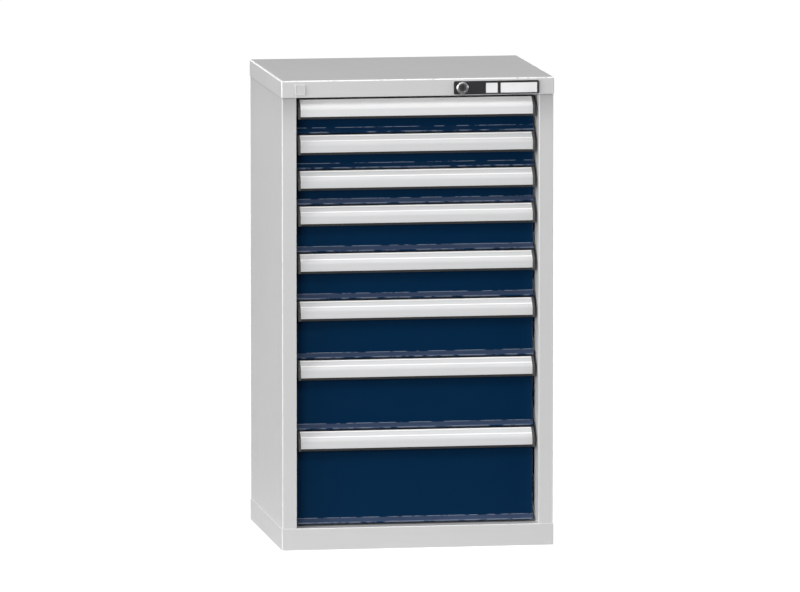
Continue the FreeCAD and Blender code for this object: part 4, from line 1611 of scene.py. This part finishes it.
    def runners(self) -> Piece:
        """Builds the two channels on the tray's sides and the lock's catch behind it.

        Returns:
            The runners and the catch.
        """
        layout = self.layout
        inside = self.tray_half + self.seat
        shape = Shape()
        for side in Side:
            path = layout.rail(inside, layout.rail_flange, self.bottom, side)
            sheet = -layout.rail_sheet * side.value
            shape.sheet(path, sheet, Axis.Y, layout.rail_start, self.tray_rear)
        root, (near, far), tip = self.tray_rear - self.catch_root, self.catch_notch, self.catch_tip
        low, high = self.axle_height - self.catch_half, self.axle_height + self.catch_half
        notch = self.axle_height + self.catch_rise
        small, large = self.catch_radii
        catch = [
            (root, low), (near, low), (near, notch), (far, notch), (far, low), (tip, low), (tip, high),
            (root, high),
        ]
        start, end = self.lock_across - self.catch_sheet / 2, self.lock_across + self.catch_sheet / 2
        shape.plate(rounded_loop(catch, {4: small, 5: small, 6: large}), Axis.X, start, end)
        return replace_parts(shape.piece(f"{self.body}_runners", ZINC, self.body, 0.25), f"{self.body}_tray")

    def slides(self) -> list[Piece]:
        """Builds the middle slide bars and their rollers, which travel half as far as the drawer.

        Returns:
            The bars and the rollers.
        """
        bars, rollers = Shape(), Shape()
        height, bore = self.axle_height, self.pin_radius + self.pin_gap
        outline = rectangle(*self.bar_along, height - self.bar_half, height + self.bar_half, 2.0, 4)
        holes = [circle((along, height), self.hole_radius, 24) for along in self.bar_holes]
        rim, shoulder = self.roller_radius, self.roller_radius - self.roller_edge
        for side in Side:
            sign = side.value
            bars.plate(outline, Axis.X, *side.span(*self.bar_across), holes)
            for roller in self.rollers:
                axle, near, far = (roller.along, height), roller.near, roller.far
                bars.rod(Axis.X, roller.root * sign, roller.tip * sign, axle, self.pin_radius)
                profile = [
                    (bore, near), (shoulder, near), (rim, near + self.roller_edge),
                    (rim, far - self.roller_edge), (shoulder, far), (bore, far),
                ]
                turned = [(radius, across * sign) for radius, across in profile]
                rollers.turned(turned, Axis.X, axle, 48)
        body = f"slide_{self.number}"
        pieces = [
            bars.piece(f"{self.body}_slide_bars", ZINC, body, 0.2),
            rollers.piece(f"{self.body}_rollers", ROLLER_PLASTIC, body, 0.25),
        ]
        for piece in pieces:
            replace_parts(piece, f"{self.body}_slide_mids")
        return pieces

    def build(self) -> list[Piece]:
        """Builds every piece of the drawer."""
        return [self.front(), *self.grip(), self.strip(), self.tray(), self.runners(), *self.slides()]


@dataclass(frozen=True)
class LockGroup:
    """The bezel with its plates, the lock in it, and the lock's works behind the drawers."""

    layout: Layout
    left: float = 75.5
    right: float = 255.5
    bottom: float = 956.3
    top: float = 984.0
    depth: float = 4.5
    centre: Point = (93.3, 970.15)
    seat_radius: float = 9.45
    window_reach: tuple[Point, Point] = ((67.4, 25.4), (98.6, 77.9))
    window_ends: Point = (2.2, 3.9)
    window_depth: float = 1.5
    plate_gap: float = 0.35
    rosette_depth: float = 3.5
    # The rosette's rounded front: each radius and how far it lies behind the foremost plane
    rosette_rim: tuple[Point, ...] = ((7.3, 0.9), (8.2, 0.0), (10.6, 0.0), (11.8, 0.45), (12.5, 1.4))
    barrel_radius: float = 9.25
    barrel_length: float = 30.0
    nut_half: float = 12.0
    nut_reach: Point = (1.2, 6.2)
    plug_radius: float = 7.0
    plug_end: float = -203.0
    plug_depth: float = 0.6
    key_half: Point = (1.1, 4.5)
    key_depth: float = 14.0
    badge_middle: float = -248.6
    badge_half: float = 10.3
    badge_rim: float = 1.5
    badge_depth: Point = (2.5, 2.0)

    @property
    def face(self) -> float:
        """The bezel's front face."""
        return self.layout.front - self.depth

    def windows(self, margin: float) -> list[list[Point]]:
        """Draws the square and the long window in by a margin.

        Args:
            margin: How far they are drawn in.

        Returns:
            Their outlines.
        """
        below, above = self.window_ends
        low, high = self.bottom + below + margin, self.top - above - margin
        result = []
        for offset, width in self.window_reach:
            start = self.left + offset
            result.append(rectangle(start + margin, start + width - margin, low, high, 0.8, 3))
        return result

    def bezel(self) -> Piece:
        """Builds the raised plate with its two sunk windows and the lock's seat.

        Returns:
            The bezel.
        """
        pockets = [(loop, self.face + self.window_depth) for loop in self.windows(0.0)]
        outline = rectangle(self.left, self.right, self.bottom, self.top, 3.0, 8)
        seat = circle(self.centre, self.seat_radius)
        shape = Shape().plate(outline, Axis.Y, self.face, self.layout.front, [seat], pockets)
        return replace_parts(shape.piece("bezel", DARK_PLASTIC, "cabinet", 0.5, 3), "lock_bezel")

    def plates(self) -> Piece:
        """Builds the two blank plates in the windows.

        Returns:
            The plates.
        """
        start, end = self.face + self.plate_gap, self.face + self.window_depth - HAIR
        shape = Shape()
        for loop in self.windows(self.plate_gap):
            shape.plate(loop, Axis.Y, start, end)
        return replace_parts(shape.piece("blank_plates", WHITE_PLASTIC, "cabinet", 0.3), "label_plates")

    def cylinder(self) -> list[Piece]:
        """Builds the polished rosette with its barrel, and the nut.

        Returns:
            The two pieces.
        """
        front, bezel = self.layout.front, self.face
        face, end = bezel - self.rosette_depth, front + self.barrel_length
        barrel = self.barrel_radius
        ring = [(radius, face + back) for radius, back in self.rosette_rim]
        bore, rim = ring[0][0], ring[-1][0]
        ring += [(rim, bezel), (barrel, bezel), (barrel, end), (bore, end)]
        rosette = Shape().turned(ring, Axis.Y, self.centre, 96).piece("rosette", POLISHED, "cabinet", 0.2)
        corners = circle(self.centre, self.nut_half / math.cos(math.pi / 6), 6)
        start, end = (front + reach for reach in self.nut_reach)
        nut = Shape().plate(corners, Axis.Y, start, end, [circle(self.centre, self.seat_radius)])
        pieces = [rosette, nut.piece("lock_nut_hex", ZINC, "cabinet", 0.4)]
        for piece in pieces:
            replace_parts(piece, "lock_cylinder")
        return pieces

    def plug(self) -> Piece:
        """Builds the turning core with its upright key slot.

        Returns:
            The core.
        """
        face = self.face - self.rosette_depth - self.plug_depth
        (across, height), (wide, high) = self.centre, self.key_half
        slot = rectangle(across - wide, across + wide, height - high, height + high)
        outline = circle(self.centre, self.plug_radius, 72)
        shape = Shape().plate(outline, Axis.Y, face, self.plug_end, (), [(slot, face + self.key_depth)])
        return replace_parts(shape.piece("key_core", DARK_STEEL, "lock_plug", 0.35), "lock_plug")

    def dress_works(self, nodes: dict[str, Piece]) -> list[Piece]:
        """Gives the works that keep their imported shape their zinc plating.

        Args:
            nodes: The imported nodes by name.

        Returns:
            The nodes that it dressed.
        """
        works = [nodes[name] for name in ("lock_shaft", "lock_crank", "lock_bar", "lock_brackets")]
        for node in works:
            dress(node, ZINC)
        return works

    def badge(self) -> Piece:
        """Builds the small blank plate near the cover's left end.

        Returns:
            The plate.
        """
        middle, height = self.badge_middle, self.centre[1]
        near, far = (self.layout.front - depth for depth in self.badge_depth)
        sizes = ((self.badge_half, 1.5, 6), (self.badge_half - self.badge_rim, 0.8, 3))
        outline, field = (
            rectangle(middle - half, middle + half, height - half, height + half, radius, steps)
            for half, radius, steps in sizes
        )
        shape = Shape().plate(outline, Axis.Y, near, self.layout.front, (), [(field, far)])
        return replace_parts(shape.piece("badge", LIGHT_GREY, "cabinet", 0.35, 3), "badge_plate")

    def build(self, nodes: dict[str, Piece]) -> list[Piece]:
        """Builds every piece of the lock and dresses its works."""
        pieces = [self.bezel(), self.plates(), *self.cylinder(), self.plug(), self.badge()]
        return [*pieces, *self.dress_works(nodes)]


# The studio


def towards(azimuth: float, elevation: float) -> Vector:
    """The direction from the cabinet to a place at an angle, in degrees, round and above it."""
    turn, lift = math.radians(azimuth), math.radians(elevation)
    return Vector((math.sin(turn) * math.cos(lift), -math.cos(turn) * math.cos(lift), math.sin(lift)))


@dataclass(frozen=True)
class Lamp:
    """A softbox that faces the cabinet."""

    name: str
    azimuth: float
    elevation: float
    width: float
    height: float
    power: float
    distance: float = 9.0

    def build(self, target: Vector) -> bpy.types.Object:
        """Hangs the softbox and points it at the target.

        Args:
            target: The place that it faces.

        Returns:
            The lamp.
        """
        light = bpy.data.lights.new(self.name, "AREA")
        light.shape = "RECTANGLE"
        light.size, light.size_y = self.width, self.height
        light.energy = self.power
        lamp = bpy.data.objects.new(self.name, light)
        bpy.context.scene.collection.objects.link(lamp)
        back = towards(self.azimuth, self.elevation)
        lamp.location = target + back * self.distance
        lamp.rotation_euler = (-back).to_track_quat("-Z", "Y").to_euler()
        return lamp


@dataclass(frozen=True)
class Studio:
    """Camera, softboxes, surrounding light and the pale floor."""

    azimuth: float = -8.940
    elevation: float = 6.961
    position: Place = (-3.3085, -21.0229, 3.1029)
    lens: float = 455.4
    sensor: float = 36.0
    clip: Point = (0.1, 300.0)
    target: Place = (0.0, 0.0, 0.5)
    lamps: tuple[Lamp, ...] = (
        Lamp("low_front_softbox", -28.0, 8.0, 3.0, 1.2, 362.0),
        Lamp("high_front_softbox", -6.0, 36.0, 4.0, 0.8, 150.0),
        Lamp("left_softbox", -75.0, 10.0, 7.0, 3.4, 510.0),
        Lamp("right_softbox", 62.0, 10.0, 4.0, 2.4, 170.0),
        Lamp("upper_left_softbox", -66.0, 61.0, 1.6, 1.6, 190.0),
        Lamp("rear_softbox", 150.0, 8.0, 3.0, 2.0, 420.0),
    )
    ambient: float = 0.09
    side_ambient: float = 0.55
    front_room: float = 0.03
    backdrop: float = 0.5
    backdrop_start: Point = (-0.05, 0.25)
    ceiling: float = 0.8
    ceiling_start: Point = (0.5, 0.95)
    floor_half: float = 60.0
    floor_cells: int = 24
    floor_fade: Point = (0.45, 1.3)
    near_floor: float = 0.33
    far_floor: float = 0.05
    near_white: float = 0.9
    mirrored_floor: float = 0.02
    paper: Noise = Noise(1.5, 3.0, (0.98, 1.02))

    def camera(self) -> bpy.types.Object:
        """Sets up the camera at the photograph's place and angle.

        Returns:
            The camera.
        """
        turn = math.radians(self.azimuth)
        back = towards(self.azimuth, self.elevation)
        right = Vector((math.cos(turn), math.sin(turn), 0.0))
        data = bpy.data.cameras.new("photo_camera")
        data.sensor_width = self.sensor
        data.lens = self.lens
        data.clip_start, data.clip_end = self.clip
        camera = bpy.data.objects.new("photo_camera", data)
        bpy.context.scene.collection.objects.link(camera)
        turned = Matrix((right, back.cross(right), back)).transposed().to_4x4()
        camera.matrix_world = Matrix.Translation(Vector(self.position)) @ turned
        bpy.context.scene.camera = camera
        return camera

    def surroundings(self) -> None:
        """Sets white for the camera, a room with a pale backdrop for gloss, and an even light."""
        world = bpy.data.worlds.new("studio_surroundings")
        world.use_nodes = True
        bpy.context.scene.world = world
        nodes = Nodes(world.node_tree)
        path = nodes.add("LightPath").outputs
        way = nodes.parts(nodes.add("TexCoord").outputs["Generated"])
        wall = nodes.spread(way["Y"], *self.backdrop_start, self.front_room, self.backdrop)
        ceiling = nodes.spread(way["Z"], *self.ceiling_start, self.front_room, self.ceiling)
        sides = nodes.maths("MULTIPLY", nodes.maths("MULTIPLY", way["X"], way["X"]), self.side_ambient)
        even, room, white = (
            nodes.add("Background", Color=WHITE, Strength=strength).outputs[0]
            for strength in (
                nodes.maths("ADD", sides, self.ambient), nodes.maths("MAXIMUM", wall, ceiling), 1.0,
            )
        )
        mirrored = nodes.maths("MAXIMUM", path["Is Glossy Ray"], path["Is Transmission Ray"])
        shown = even
        for share, other in ((mirrored, room), (path["Is Camera Ray"], white)):
            mix = nodes.add("MixShader", Fac=share)
            nodes.feed(mix.inputs[1], shown)
            nodes.feed(mix.inputs[2], other)
            shown = mix.outputs[0]
        nodes.add("OutputWorld", Surface=shown)

    def paper_material(self) -> bpy.types.Material:
        """Makes the floor's paper, which is white for the camera and runs out into its white.

        Returns:
            The material.
        """
        made = bpy.data.materials.new("pale_studio_floor")
        made.use_nodes = True
        nodes = Nodes(made.node_tree)
        away = nodes.vector("LENGTH", nodes.add("TexCoord").outputs["Object"]).outputs["Value"]
        faded = nodes.spread(away, *self.floor_fade, self.near_floor, self.far_floor)
        tone = nodes.maths("MULTIPLY", faded, nodes.vary(nodes.places(), self.paper))
        path = nodes.add("LightPath").outputs
        white = nodes.spread(away, *self.floor_fade, self.near_white, 1.0)
        seen = nodes.maths("MULTIPLY", path["Is Camera Ray"], white)
        mirrored = nodes.maths("MULTIPLY", path["Is Glossy Ray"], self.mirrored_floor)
        paper = nodes.add(
            "BsdfPrincipled", Base_Color=nodes.grey(tone), Roughness=0.9, Specular_IOR_Level=0.1,
            Emission_Color=WHITE, Emission_Strength=nodes.maths("ADD", seen, mirrored),
        )
        nodes.add("OutputMaterial", Surface=paper.outputs[0])
        return made

    def floor(self) -> bpy.types.Object:
        """Lays a wide pale floor that runs out into the white behind it.

        Returns:
            The floor.
        """
        data = bpy.data.meshes.new("studio_floor")
        mesh = bmesh.new()
        cells = self.floor_cells
        bmesh.ops.create_grid(mesh, x_segments=cells, y_segments=cells, size=self.floor_half)
        mesh.to_mesh(data)
        mesh.free()
        floor = bpy.data.objects.new("studio_floor", data)
        bpy.context.scene.collection.objects.link(floor)
        data.materials.append(self.paper_material())
        return floor

    def build(self) -> list[bpy.types.Object]:
        """Sets up the whole studio.

        Returns:
            The camera, the floor and the lamps.
        """
        bpy.context.scene.view_settings.view_transform = "Standard"
        self.surroundings()
        target = Vector(self.target)
        return [self.camera(), self.floor(), *(lamp.build(target) for lamp in self.lamps)]


def report(assembly: str, pieces: Sequence[bpy.types.Object]) -> None:
    """Logs the pieces of one sub-assembly."""
    LOG.info("%s: %s", assembly, ", ".join(piece.name for piece in pieces))


def main() -> None:
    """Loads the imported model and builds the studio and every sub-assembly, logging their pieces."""
    logging.basicConfig(level=logging.INFO, format="%(message)s")
    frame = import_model()
    layout = Layout()
    report("studio", Studio().build())
    report("carcass", Carcass(layout).build())
    for number, bottom, top in layout.drawers():
        report(f"drawer {number}", Drawer(layout, number, bottom, top).build())
    report("lock", LockGroup(layout).build(frame["nodes"]))


if __name__ == "__main__":
    main()
